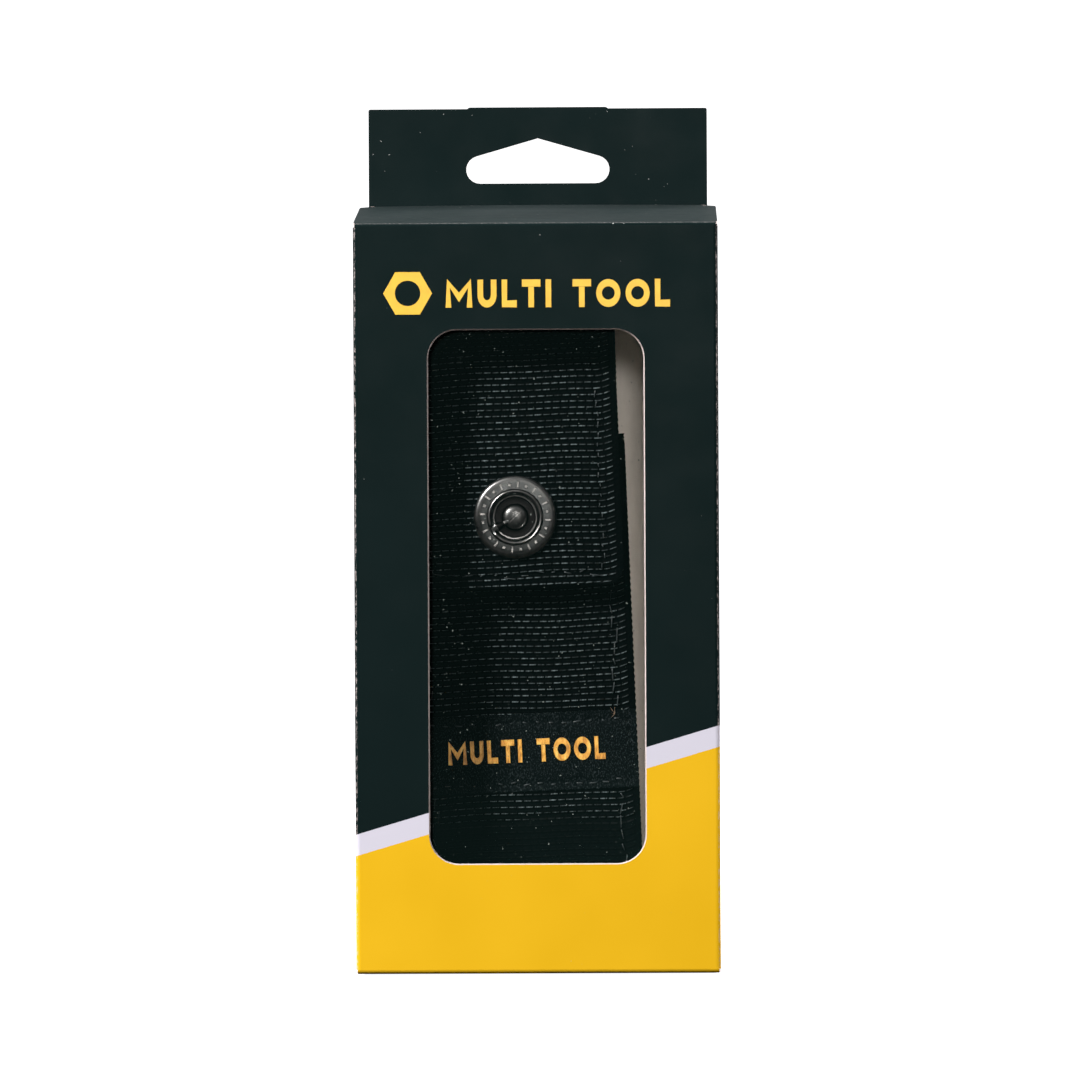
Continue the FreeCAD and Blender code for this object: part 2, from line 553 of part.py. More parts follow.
def folding_tool():
    """Every part of the closed tool by name."""
    parts = {
        "left_handle": handle(-1),
        "right_handle": handle(+1),
        "left_handle_liners": liners(-1),
        "right_handle_liners": liners(+1),
        "left_plier_jaw": plier_jaw(-1),
        "right_plier_jaw": plier_jaw(+1),
        "plier_rivet": tool_rod(0, HEAD_PIVOT_W, PIN_RADIUS, JAW_THICK / 2),
        "knife_blade": outer_blade(-1, -BLADE_BAY, KNIFE),
        "sheepsfoot_blade": outer_blade(-1, BLADE_BAY, SHEEPSFOOT),
        "saw_blade": outer_blade(+1, -BLADE_BAY, saw_outline()),
        "file_blade": outer_blade(+1, BLADE_BAY, FILE_BLADE),
        "left_back_spring": back_spring(-1),
        "right_back_spring": back_spring(+1),
        "large_screwdriver": inner_tool(-1, -1, LARGE_SCREWDRIVER),
        "small_screwdriver": inner_tool(-1, 0, SMALL_SCREWDRIVER),
        "awl": inner_tool(-1, 1, AWL),
        "can_opener": inner_tool(+1, -1, CAN_OPENER),
        "bit_driver": inner_tool(+1, 0, BIT_DRIVER),
        "cross_point_driver": inner_tool(+1, 1, CROSS_POINT_DRIVER),
    }
    parts.update(cross_pins(HANDLE_PIVOT_X, HANDLE_PIVOT_W, "handle_pivot_pin"))
    parts.update(cross_pins(TOOL_PIVOT_X, TOOL_PIVOT_W, "tool_pivot_pin"))
    return parts


def place_in_carton(shape):
    """Leans a pouch or tool part over and stands it on the carton's bottom flaps."""
    placed = turned(shape, POUCH_LEAN, Vec(0, 0, 0), Y_AXIS)
    placed.translate(Vec(POUCH_X, 0, POUCH_Z))
    return placed


def main():
    os.makedirs("parts", exist_ok=True)
    parts = carton()
    for name, shape in {**pouch(), **folding_tool()}.items():
        parts[name] = place_in_carton(shape)
    for name, shape in sorted(parts.items()):
        if not shape.isValid() or shape.Volume <= 0:
            raise ValueError(f"{name} is not a valid solid")
        shape.exportStep(f"parts/{name}.step")
    print(len(parts), "parts written")


main()
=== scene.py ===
"""Looks for the boxed folding tool: a printed window carton with a ribbed webbing pouch inside it.

Every piece is built in metres in the CAD frame, and its place is read from the CAD nodes. Carton
pieces are built where they stand. Pouch pieces are built in the pouch's own leaning frame: x across,
y front to back, w up from the crown of the fold. in_pouch() then puts them in place.
"""

import json
import math
import random

import bmesh
import bpy
import numpy as np
from mathutils import Matrix, Vector


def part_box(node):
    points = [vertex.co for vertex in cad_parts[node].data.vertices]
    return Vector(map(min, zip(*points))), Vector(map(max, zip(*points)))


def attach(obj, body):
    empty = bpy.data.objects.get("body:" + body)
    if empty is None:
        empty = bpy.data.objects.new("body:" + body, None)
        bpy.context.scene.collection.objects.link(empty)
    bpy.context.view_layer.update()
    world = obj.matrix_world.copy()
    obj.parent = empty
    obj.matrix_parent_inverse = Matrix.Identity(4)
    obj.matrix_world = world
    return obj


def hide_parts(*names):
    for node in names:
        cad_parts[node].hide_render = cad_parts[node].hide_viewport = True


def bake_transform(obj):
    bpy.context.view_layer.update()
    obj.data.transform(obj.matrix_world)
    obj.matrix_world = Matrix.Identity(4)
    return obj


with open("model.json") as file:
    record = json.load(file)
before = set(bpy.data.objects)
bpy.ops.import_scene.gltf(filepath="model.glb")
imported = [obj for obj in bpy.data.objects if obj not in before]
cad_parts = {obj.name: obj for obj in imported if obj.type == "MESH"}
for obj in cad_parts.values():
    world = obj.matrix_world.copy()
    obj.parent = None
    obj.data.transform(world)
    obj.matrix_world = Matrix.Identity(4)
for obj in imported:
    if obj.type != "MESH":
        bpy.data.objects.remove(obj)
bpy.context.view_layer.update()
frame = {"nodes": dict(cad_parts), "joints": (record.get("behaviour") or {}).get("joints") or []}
random.seed(11)
NODES = frame["nodes"]
JOINTS = {joint["name"]: joint for joint in frame["joints"]}

MM = 0.001
TAU = 2 * math.pi

# Carton
BOARD = 0.5 * MM
CORNER = 0.9 * MM           # radius of the carton's upright folds
WINDOW_RADIUS = 5.5 * MM
WINDOW_FLARE = 0.22 * MM    # how much wider the window is in the printed face
SLOT_RADIUS = 2.75 * MM
TAB_CORNER = 0.35 * MM
LIP_TOP, LIP_FOOT = 13.4 * MM, 13.9 * MM    # half widths of the lip on the hanging tab
CREASE = 1.1 * MM           # length of board taken up by each lid crease
CREASE_WEAR = 0.76
ARC_STEPS = 8
SHARP = 35.0                # degrees from which an edge is left sharp

# Artwork: the yellow foot of the carton and the pale stripe above it
ART_MIDDLE = 33.0 * MM      # height of the yellow's upper edge at the middle of the front
ART_SLOPE = 0.297
STRIPE = 4.1 * MM
BLACK_ART, YELLOW_ART = 1.0, -1.0           # art heights of boards that are one colour all over
WORDS = "MULTI TOOL"
STROKE, LETTER_GAP = 0.26, 0.24             # in letter heights

# Webbing
RIB = 1.2 * MM
RIB_HEIGHT = 0.24 * MM
BUNDLE = 1.65 * MM          # width of the groups of yarns that the ribs are divided into
BUNDLE_DIP = 0.55
EDGE_SWEEP = 0.9 * MM       # how far the ribs sweep up at the two edges
EDGE_ZONE = 5.0 * MM
RIB_ROWS = (0.0, 0.13, 0.4, 0.65, 0.88)
BUNDLE_COLUMNS = (0.0, 0.14, 0.5, 0.86)
PLAIN_ROWS = (0.0, 0.2, 0.4, 0.7)           # coarser ribs of the back and the belt loop
SEAM_DENT = 0.20 * MM
SEAM_REACH = 0.7 * MM

# Sewing
STITCH = 2.5 * MM
THREAD = 0.17 * MM
FINE_THREAD = 0.10 * MM
LABEL_THREAD = 0.14 * MM


# ------------------------------------------------------------------ mesh helpers

def new_object(name, vertices, faces, materials, slots=None, attributes=None, sharp=SHARP):
    """A mesh object, smooth apart from edges sharper than sharp degrees."""
    mesh = bpy.data.meshes.new(name)
    mesh.from_pydata([tuple(v) for v in vertices], [], [tuple(f) for f in faces])
    for mat in materials:
        mesh.materials.append(mat)
    if slots is not None:
        mesh.polygons.foreach_set("material_index", np.array(slots, np.int32))
    for key, values in (attributes or {}).items():
        layer = mesh.attributes.new(key, "FLOAT", "POINT")
        layer.data.foreach_set("value", np.array(values, np.float32))
    tidy = bmesh.new()
    tidy.from_mesh(mesh)
    bmesh.ops.remove_doubles(tidy, verts=tidy.verts, dist=0.002 * MM)
    bmesh.ops.recalc_face_normals(tidy, faces=tidy.faces)
    tidy.to_mesh(mesh)
    tidy.free()
    mesh.shade_smooth()
    mesh.set_sharp_from_angle(angle=math.radians(sharp))
    obj = bpy.data.objects.new(name, mesh)
    bpy.context.scene.collection.objects.link(obj)
    return obj


def lattice_faces(rows, columns, start=0, loop=False, flip=False):
    """Quads over a lattice of rows by columns, numbered row by row from start."""
    faces = []
    for r in range(rows - 1):
        for c in range(columns if loop else columns - 1):
            d = (c + 1) % columns
            a, b = start + r * columns + c, start + r * columns + d
            quad = (a, b, b + columns, a + columns)
            faces.append(quad[::-1] if flip else quad)
    return faces


def slab(name, outer, inner, materials, attributes=None, sharp=SHARP):
    """A closed sheet between two lattices, with materials (outer, inner, edge)."""
    rows, columns = outer.shape[:2]
    count = rows * columns
    vertices = np.concatenate([outer.reshape(-1, 3), inner.reshape(-1, 3)])
    faces = lattice_faces(rows, columns) + lattice_faces(rows, columns, count, flip=True)
    slots = [0] * (len(faces) // 2) + [1] * (len(faces) // 2)
    ring = list(range(columns))
    ring += [r * columns + columns - 1 for r in range(1, rows)]
    ring += [(rows - 1) * columns + c for c in range(columns - 2, -1, -1)]
    ring += [r * columns for r in range(rows - 2, 0, -1)]
    for a, b in zip(ring, ring[1:] + ring[:1]):
        faces.append((b, a, a + count, b + count))
        slots.append(2)
    values = {key: np.tile(np.asarray(v).reshape(-1), 2) for key, v in (attributes or {}).items()}
    return new_object(name, vertices, faces, materials, slots, values, sharp)


def path_normals(path):
    """Unit normals, to the left of travel, of a polyline of (a, b) points."""
    step = np.gradient(path, axis=0)
    step /= np.linalg.norm(step, axis=1)[:, None]
    return np.stack([-step[:, 1], step[:, 0]], axis=1)


def path_lengths(path):
    """Length along a polyline up to each of its points."""
    return np.concatenate([[0.0], np.cumsum(np.linalg.norm(np.diff(path, axis=0), axis=1))])


def along(path, lengths):
    """Points at the given lengths along a polyline."""
    known = path_lengths(path)
    return np.stack([np.interp(lengths, known, path[:, k]) for k in (0, 1)], axis=1)


def arc(centre, radius, start, stop, steps=ARC_STEPS):
    """Points on a circle from start to stop degrees."""
    angles = np.radians(np.linspace(start, stop, steps + 1))
    return np.stack([centre[0] + radius * np.cos(angles), centre[1] + radius * np.sin(angles)], axis=1)


def arc_list(centre, radius, start, stop, steps=ARC_STEPS):
    """The same points as a list of tuples."""
    return [tuple(p) for p in arc(centre, radius, start, stop, steps)]


def flared(ring, amount):
    """A ring of points moved out from the hole it bounds."""
    ring = np.array(ring)
    along_ring = np.roll(ring, -1, axis=0) - np.roll(ring, 1, axis=0)
    outward = np.stack([along_ring[:, 1], -along_ring[:, 0]], axis=1)
    outward /= np.linalg.norm(outward, axis=1)[:, None]
    outward *= np.sign(((ring - ring.mean(axis=0)) * outward).sum())
    return [tuple(p) for p in ring + outward * amount]


def planar_board(name, outline, holes, place, front, back, materials, art, flare=0.0):
    """A flat board with holes. place(a, b, depth) puts a plane point at a depth in the row frame.

    flare is how much wider a hole is in the front face than in the back one.
    """
    wider = {}
    for ring in holes:
        wider.update({tuple(np.float32(a)): b for a, b in zip(ring, flared(ring, flare))})
    filled = bmesh.new()
    for ring in [outline] + holes:
        loop = [filled.verts.new((a, b, 0.0)) for a, b in ring]
        for first, second in zip(loop, loop[1:] + loop[:1]):
            filled.edges.new((first, second))
    bmesh.ops.triangle_fill(filled, edges=filled.edges[:], use_beauty=True)
    filled.verts.index_update()
    plane = [tuple(v.co[:2]) for v in filled.verts]
    triangles = [[v.index for v in f.verts] for f in filled.faces]
    rims = [[v.index for v in e.verts] for e in filled.edges if len(e.link_faces) == 1]
    filled.free()
    count = len(plane)
    face = [wider.get(tuple(np.float32(v)), v) for v in plane]
    vertices = [place(a, b, front) for a, b in face] + [place(a, b, back) for a, b in plane]
    faces = triangles + [[i + count for i in reversed(t)] for t in triangles]
    slots = [0] * len(triangles) + [1] * len(triangles)
    for a, b in rims:
        faces.append((a, b, b + count, a + count))
        slots.append(2)
    values = {"art": [art(*v) for v in vertices], "crease": [0.0] * len(vertices)}
    return new_object(name, vertices, faces, materials, slots, values)


def merged(name, objects):
    """Several objects joined into the first, with shared edges welded."""
    bpy.ops.object.select_all(action="DESELECT")
    for obj in objects:
        obj.select_set(True)
    bpy.context.view_layer.objects.active = objects[0]
    bpy.ops.object.join()
    whole = objects[0]
    weld = bmesh.new()
    weld.from_mesh(whole.data)
    bmesh.ops.remove_doubles(weld, verts=weld.verts, dist=0.005 * MM)
    weld.to_mesh(whole.data)
    weld.free()
    whole.data.set_sharp_from_angle(angle=math.radians(SHARP))
    whole.name = name
    return whole


def ring_round(centre, radius, side, other, count):
    """Points on a circle round a centre, in the plane of two directions."""
    turns = [TAU * k / count for k in range(count)]
    return [centre + radius * (math.cos(turn) * side + math.sin(turn) * other) for turn in turns]


def node_points(node):
    """A CAD node's vertices."""
    return np.array([v.co for v in NODES[node].data.vertices], float).reshape(-1, 3)


# ------------------------------------------------------------------ material helpers

class Shader:
    """A Principled material and short ways to add nodes to it."""

    def __init__(self, name, colour, roughness, **sockets):
        self.material = bpy.data.materials.new(name)
        self.material.use_nodes = True
        self.tree = self.material.node_tree
        self.surface = self.tree.nodes["Principled BSDF"]
        self.surface.inputs["Base Color"].default_value = (*colour, 1)
        self.surface.inputs["Roughness"].default_value = roughness
        for socket, value in sockets.items():
            self.surface.inputs[socket.replace("_", " ")].default_value = value

    def add(self, kind, inputs=None, **settings):
        """A node with its settings and its inputs, each a value or a socket to link."""
        node = self.tree.nodes.new("ShaderNode" + kind)
        for key, value in settings.items():
            setattr(node, key, value)
        for key, value in (inputs or {}).items():
            if isinstance(value, bpy.types.NodeSocket):
                self.tree.links.new(value, node.inputs[key])
            else:
                node.inputs[key].default_value = value
        return node

    def place(self, scale=(1, 1, 1), turn=(0, 0, 0)):
        """Object coordinates, scaled and turned."""
        source = self.add("TexCoord").outputs["Object"]
        turned = self.add("Mapping", {"Vector": source, "Scale": scale, "Rotation": turn})
        return turned.outputs["Vector"]

    def noise(self, scale, detail=3.0, stretch=(1, 1, 1), rough=0.5):
        """Noise in object space, with scale in features to the metre."""
        inputs = {"Vector": self.place(stretch), "Scale": scale, "Detail": detail, "Roughness": rough}
        return self.add("TexNoise", inputs).outputs["Fac"]

    def ramp(self, value, stops):
        """A colour ramp: stops are (position, grey or colour)."""
        node = self.add("ValToRGB", {"Fac": value})
        while len(node.color_ramp.elements) < len(stops):
            node.color_ramp.elements.new(0.5)
        for element, (position, colour) in zip(node.color_ramp.elements, stops):
            element.position = position
            element.color = (colour,) * 3 + (1,) if isinstance(colour, (int, float)) else (*colour, 1)
        return node.outputs["Color"]

    def math(self, operation, a, b=0.0, clamp=False):
        return self.add("Math", {0: a, 1: b}, operation=operation, use_clamp=clamp).outputs["Value"]

    def mix(self, factor, a, b):
        """Colour a turning into colour b as factor goes from 0 to 1."""
        node = self.add("Mix", data_type="RGBA", blend_type="MIX")
        for index, value in ((0, factor), (6, a), (7, b)):
            if isinstance(value, bpy.types.NodeSocket):
                self.tree.links.new(value, node.inputs[index])
            else:
                node.inputs[index].default_value = value if index == 0 else (*value, 1)
        return node.outputs[2]

    def wave(self, bands, where, scale, distortion, detail=2.0):
        """Bands across an axis, bent by distortion."""
        inputs = {"Vector": where, "Scale": scale, "Distortion": distortion, "Detail": detail}
        return self.add("TexWave", inputs, bands_direction=bands).outputs["Fac"]

    def attribute(self, name):
        return self.add("Attribute", attribute_name=name).outputs["Fac"]

    def drive(self, socket, value):
        """Links a value to one of the surface's sockets."""
        self.tree.links.new(value, self.surface.inputs[socket])

    def shades(self, fac, dark, light, low=0.3, high=0.7):
        """Colours the surface from dark to light."""
        self.drive("Base Color", self.ramp(fac, [(low, dark), (high, light)]))

    def bump(self, height, strength, distance):
        """Adds a bump on top of any bump already there."""
        node = self.add("Bump", {"Height": height, "Strength": strength, "Distance": distance})
        linked = self.surface.inputs["Normal"].links
        if linked:
            self.tree.links.new(linked[0].from_socket, node.inputs["Normal"])
        self.drive("Normal", node.outputs["Normal"])


# ------------------------------------------------------------------ materials

BLACK_INK, BLACK_INK_PATCH = (0.0020, 0.0088, 0.0089), (0.0030, 0.0106, 0.0108)
YELLOW_INK, YELLOW_INK_PATCH = (0.86, 0.49, 0.012), (0.80, 0.45, 0.008)
PALE_INK = (0.67, 0.64, 0.73)
RAW_EDGE = (0.74, 0.62, 0.60)
BOARD_DUST = (0.62, 0.62, 0.60)
FILM_TINT = (0.10, 0.22, 0.20)
FILM_DUST = (0.75, 0.72, 0.66)
FILM_BODY = 0.012           # how opaque clean film is
NYLON = (0.021, 0.026, 0.0265)
# painted shade: the colour of the dark bottoms of the ribs' grooves
NYLON_GROOVE_SHADE = (0.0006, 0.0014, 0.0016)


def printed_board():
    """Coated carton board: black, a pale stripe and a yellow foot, worn pale along the folds, with dust."""
    s = Shader("printed_board", BLACK_INK, 0.40, Specular_IOR_Level=0.055, Sheen_Weight=0.04,
               Sheen_Roughness=0.4)
    art = s.attribute("art")
    crease = s.attribute("crease")
    cloud = s.noise(45, 2)
    black = s.mix(s.ramp(cloud, [(0.35, 0.0), (0.7, 1.0)]), BLACK_INK, BLACK_INK_PATCH)
    yellow = s.mix(s.ramp(cloud, [(0.3, 0.0), (0.75, 1.0)]), YELLOW_INK, YELLOW_INK_PATCH)
    above_yellow = s.math("GREATER_THAN", art, 0.0)
    above_stripe = s.math("GREATER_THAN", art, STRIPE)
    ink = s.mix(above_stripe, s.mix(above_yellow, yellow, PALE_INK), black)
    speck = s.noise(2600, 3, (1, 1, 0.5), 0.7)
    rub = s.ramp(speck, [(0.47, 0.0), (0.64, 1.0)])
    worn = s.math("MULTIPLY", rub, s.ramp(crease, [(0.62, 0.0), (0.92, 1.0)]))
    dust = s.ramp(s.noise(1500, 1, rough=0.4), [(0.808, 0.0), (0.822, 0.45)])
    rubbed_ink = s.mix(s.math("MULTIPLY", worn, 0.55), ink, RAW_EDGE)
    s.drive("Base Color", s.mix(dust, rubbed_ink, BOARD_DUST))
    s.drive("Roughness", s.ramp(s.noise(120, 3), [(0.3, 0.38), (0.75, 0.50)]))
    s.bump(s.noise(2600, 3), 0.10, 0.02 * MM)
    s.bump(s.noise(28, 2), 0.25, 0.5 * MM)
    return s.material


def fibrous(name, base, roughness, grain, dark, light, relief, strength, depth):
    """A plain surface of two shades. grain and relief are the settings of its two noises."""
    s = Shader(name, base, roughness)
    s.shades(s.noise(*grain), dark, light)
    s.bump(s.noise(*relief), strength, depth)
    return s.material


def clear_film():
    """Clear film, a little hazy low down as a painted reflection, with a few specks of dust."""
    s = Shader("clear_film", (0.30, 0.30, 0.29), 0.10, Specular_IOR_Level=0.35)
    dust = s.ramp(s.noise(1700, 1, rough=0.4), [(0.775, 0.0), (0.80, 0.55)])
    height = s.add("SeparateXYZ", {"Vector": s.add("TexCoord").outputs["Object"]}).outputs["Z"]
    # painted reflection: the film is made more opaque low down
    low = s.ramp(s.math("MULTIPLY", height, 8.0), [(0.20, 0.022), (0.40, 0.0)])
    s.drive("Base Color", s.mix(dust, FILM_TINT, FILM_DUST))
    painted_low_reflection = s.math("MULTIPLY", low, s.noise(30, 2))
    s.drive("Alpha", s.math("ADD", s.math("ADD", dust, painted_low_reflection), FILM_BODY, clamp=True))
    s.bump(s.noise(26, 2), 0.5, 0.6 * MM)
    return s.material


def tinted(colour, factor):
    """A colour made darker or lighter."""
    return tuple(factor * c for c in colour)


def webbing_cloth(name, colour, lift):
    """Black nylon: fine yarns across each rib, matt and darkened by painted shade in the grooves, with a
    painted highlight lift times as bright on the ribs.
    """
    s = Shader(name, colour, 0.5, Specular_IOR_Level=0.1)
    rib = s.attribute("rib")
    fuzz = s.noise(2300, 2, (1, 1, 0.8), 0.7)
    # painted shade in the grooves and a painted highlight along the ribs, led by the rib attribute
    painted_rib_light = s.ramp(rib, [(0.12, NYLON_GROOVE_SHADE), (0.55, tinted(colour, 0.3)), (0.96, tinted(colour, lift))])
    s.drive("Base Color", s.mix(s.ramp(fuzz, [(0.38, 0.0), (0.62, 0.85)]), painted_rib_light, tinted(colour, 0.1)))
    s.drive("Specular IOR Level", s.ramp(rib, [(0.15, 0.0), (0.9, 0.25)]))
    s.drive("Roughness", s.ramp(fuzz, [(0.3, 0.42), (0.7, 0.65)]))
    s.bump(fuzz, 0.5, 0.10 * MM)
    return s.material


def elastic_cloth():
    """Knitted elastic: soft upright ribs."""
    s = Shader("elastic_cloth", (0.006, 0.007, 0.008), 0.8, Specular_IOR_Level=0.12)
    knit = s.wave("Z", s.place(), 420, 1.0, 2)
    s.bump(knit, 0.6, 0.1 * MM)
    s.shades(s.noise(700, 3), (0.004, 0.0045, 0.005), (0.010, 0.011, 0.012))
    return s.material


def satin_ribbon():
    """Black satin ribbon with a fine diagonal twill and scattered bright threads."""
    s = Shader("satin_ribbon", (0.006, 0.009, 0.010), 0.42, Specular_IOR_Level=0.06)
    twill = s.wave("X", s.place(turn=(0, math.radians(38), 0)), 620, 1.5, 2)
    thread = s.noise(4200, 2, (1, 1, 0.6), 0.6)
    s.shades(thread, (0.0012, 0.0030, 0.0034), (0.045, 0.056, 0.058), 0.52, 0.76)
    s.drive("Roughness", s.ramp(thread, [(0.35, 0.55), (0.7, 0.30)]))
    s.bump(twill, 0.55, 0.05 * MM)
    s.bump(thread, 0.5, 0.06 * MM)
    return s.material


def gold_thread():
    """Golden yarn of the label's words, laid in short slanting runs."""
    s = Shader("gold_thread", (0.68, 0.33, 0.055), 0.45, Sheen_Weight=0.3)
    yarn = s.noise(1700, 2, (1.0, 1.0, 0.4), 0.6)
    shades = [(0.32, (0.52, 0.20, 0.015)), (0.52, (0.90, 0.42, 0.045)), (0.72, (1.0, 0.66, 0.14))]
    s.drive("Base Color", s.ramp(yarn, shades))
    s.bump(yarn, 0.8, 0.1 * MM)
    return s.material


def sewing_thread(name, colour):
    """Bonded thread with a slight shine."""
    s = Shader(name, colour, 0.38, Specular_IOR_Level=0.55)
    twist = s.wave("DIAGONAL", s.place(), 900, 0.5)
    s.bump(twist, 0.4, 0.04 * MM)
    s.drive("Base Color", s.mix(s.noise(800, 2), tinted(colour, 0.6), tinted(colour, 1.3)))
    return s.material


def metal(name, colour, roughness, grain=(1, 1, 1), depth=0.02, worn=None):
    """Steel with brushed grain, smudges and, if asked for, brighter rubbed edges."""
    s = Shader(name, colour, roughness, Metallic=1.0)
    smudge = s.noise(160, 4, rough=0.6)
    tint = s.ramp(smudge, [(0.3, tinted(colour, 0.75)), (0.7, tinted(colour, 1.15))])
    if worn:
        edge = s.ramp(s.add("NewGeometry").outputs["Pointiness"], [(0.505, 0.0), (0.56, 1.0)])
        tint = s.mix(s.math("MULTIPLY", edge, s.noise(900, 3)), tint, worn)
    s.drive("Base Color", tint)
    s.drive("Roughness", s.ramp(smudge, [(0.3, roughness - 0.06), (0.7, roughness + 0.10)]))
    s.bump(s.noise(1200, 2, grain), 0.25, depth * MM)
    return s.material


PRINTED = printed_board()
PLAIN = fibrous("plain_board", (0.60, 0.53, 0.46), 0.85, (900, 4, (1, 1, 0.5)),
                (0.84, 0.77, 0.69), (0.90, 0.83, 0.75), (3000, 3), 0.2, 0.03 * MM)
EDGE = fibrous("cut_edge", RAW_EDGE, 0.75, (1800, 3),
               (0.62, 0.50, 0.47), (0.80, 0.70, 0.68), (5000, 2), 0.3, 0.03 * MM)
YELLOW = fibrous("yellow_print", (0.88, 0.50, 0.012), 0.35, (500, 3),
                 (0.84, 0.46, 0.010), (0.92, 0.54, 0.015), (2600, 3), 0.08, 0.02 * MM)
BOARD_SKINS = [PRINTED, PLAIN, EDGE]
FILM = clear_film()
# 17 is how many times as bright the painted highlight on the ribs is
WEBBING = webbing_cloth("ribbed_webbing", NYLON, 17.0)
ELASTIC = elastic_cloth()
SATIN = satin_ribbon()
GOLD = gold_thread()
BLACK_THREAD = sewing_thread("black_thread", (0.045, 0.054, 0.055))
BEIGE_THREAD = sewing_thread("beige_thread", (0.62, 0.42, 0.28))
GUNMETAL = metal("gunmetal", (0.057, 0.059, 0.058), 0.33, worn=(0.46, 0.44, 0.42))
# painted shade: darker metal for the snap cap's deep groove
RECESS_SHADE = metal("snap_recess_shade", (0.012, 0.011, 0.011), 0.45)
HANDLE_STEEL = metal("handle_steel", (0.50, 0.50, 0.51), 0.34, (1, 1, 0.05))
BLADE_STEEL = metal("blade_steel", (0.60, 0.60, 0.61), 0.24, (0.05, 1, 1), 0.01)
PIN_STEEL = metal("pin_steel", (0.66, 0.66, 0.67), 0.18)


# ------------------------------------------------------------------ carton

front_low, front_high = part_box("carton_front_panel")
back_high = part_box("carton_back_panel")[1]
HALF = front_high.x                     # half the carton's width
FRONT, BACK = front_low.y, back_high.y
TOP = JOINTS["top_lid_crease"]["pos_m"][2]
WALL_GAP = 0.8 * MM                     # from a wall's end to the lid's crease
WALL_LOW = WALL_GAP
WALL_TOP = TOP - WALL_GAP


def art_height(x, y, z):
    """Height above the yellow's upper edge, with the artwork carried round all four walls."""
    turn = 1.2 * MM
    if y < FRONT + turn:
        level = ART_SLOPE * x
    elif y > BACK - turn:
        level = ART_SLOPE * x * (HALF + BACK - FRONT) / HALF
    else:
        level = math.copysign(ART_SLOPE * (HALF + y - FRONT), x)
    return z - ART_MIDDLE - level


def all_black(x, y, z):
    """The art height of a board that is black all over."""
    return BLACK_ART


def upright(a, b, depth):
    """A point of a board that faces the front or the back."""
    return (a, depth, b)


def rounded_outline(x0, x1, z0, z1, radius, steps=10):
    """A rectangle with round corners, anticlockwise."""
    corners = [
        ((x1 - radius, z0 + radius), 270), ((x1 - radius, z1 - radius), 0),
        ((x0 + radius, z1 - radius), 90), ((x0 + radius, z0 + radius), 180),
    ]
    return [tuple(p) for centre, start in corners for p in arc(centre, radius, start, start + 90, steps)]


def hole_points(node, reach):
    """Vertices of a CAD node's hole: those nearer the middle than reach."""
    points = node_points(node)
    return points[np.abs(points[:, 0]) < reach]


def wrap(name, plan, z0, z1):
    """A wall that follows a plan line of (x, y), outside to the left, between two heights."""
    normals = path_normals(plan)
    inside = plan - normals * BOARD
    heights = np.linspace(z0, z1, 5)
    outer = np.array([[(x, y, z) for x, y in plan] for z in heights])
    inner = np.array([[(x, y, z) for x, y in inside] for z in heights])
    art = [[art_height(x, y, z) for x, y in plan] for z in heights]
    turn = np.abs(normals).min(axis=1) / math.sqrt(0.5)
    crease = [turn for _ in heights]
    return slab(name, outer, inner, BOARD_SKINS, {"art": art, "crease": crease})


def carton_sleeve():
    """Front, sides and back as the one folded sheet that they are."""
    edge = HALF - CORNER
    window = hole_points("carton_front_panel", 0.8 * HALF)
    w0, w1 = window.min(axis=0), window.max(axis=0)
    window_ring = rounded_outline(w0[0], w1[0], w0[2], w1[2], WINDOW_RADIUS)
    outline = [(-edge, WALL_LOW), (edge, WALL_LOW), (edge, WALL_TOP), (-edge, WALL_TOP)]
    front = planar_board(
        "front", outline, [window_ring], upright, FRONT, FRONT + BOARD, BOARD_SKINS, art_height,
        WINDOW_FLARE)
    left = np.concatenate([
        arc((-edge, FRONT + CORNER), CORNER, 270, 180), arc((-edge, BACK - CORNER), CORNER, 180, 90)])
    right = np.concatenate([
        arc((edge, BACK - CORNER), CORNER, 90, 0), arc((edge, FRONT + CORNER), CORNER, 0, -90)])
    sides = [wrap("left", left, WALL_LOW, WALL_TOP), wrap("right", right, WALL_LOW, WALL_TOP)]
    back = planar_board("back", outline, [], upright, BACK, BACK - BOARD, BOARD_SKINS, art_height)
    return merged("carton_sleeve", [front, *sides, back])


def slot_ring():
    """The hanging slot: flat bottom, round ends and a peaked roof."""
    points = hole_points("hang_tab_doubler", 0.6 * HALF)
    points = points[(points[:, 2] > TOP + 2 * MM) & (points[:, 2] < back_high.z - 1 * MM)]
    half, low, peak = points[:, 0].max(), points[:, 2].min(), points[:, 2].max()
    radius = SLOT_RADIUS
    centre = (half - radius, low + radius)
    away = math.hypot(centre[0], peak - centre[1])
    tangent = math.degrees(math.atan2(peak - centre[1], -centre[0]) - math.acos(radius / away))
    right = arc_list(centre, radius, -90, tangent, 10)
    return right + [(0.0, peak)] + [(-x, z) for x, z in reversed(right)]


def tab_outline(low):
    """The hanging tab's outline, with the low lip along the middle of its top."""
    points = node_points("hang_tab_doubler")
    half, top = points[:, 0].max(), points[:, 2].max()
    ring = [(-half, low), (half, low)]
    ring += arc_list((half - TAB_CORNER, top - TAB_CORNER), TAB_CORNER, 0, 90, 5)
    ring += [(LIP_FOOT, top), (LIP_TOP, back_high.z), (-LIP_TOP, back_high.z), (-LIP_FOOT, top)]
    ring += arc_list((TAB_CORNER - half, top - TAB_CORNER), TAB_CORNER, 90, 180, 5)
    return ring


def hang_tab():
    """The two glued layers of the hanging tab."""
    rear = planar_board(
        "hang_tab_rear_layer", tab_outline(WALL_TOP), [slot_ring()], upright, BACK, BACK - BOARD,
        BOARD_SKINS, all_black)
    low = node_points("hang_tab_doubler")[:, 2].min()
    front = planar_board(
        "hang_tab_front_layer", tab_outline(low), [slot_ring()], upright, BACK - 2 * BOARD,
        BACK - BOARD, BOARD_SKINS, all_black)
    return rear, front


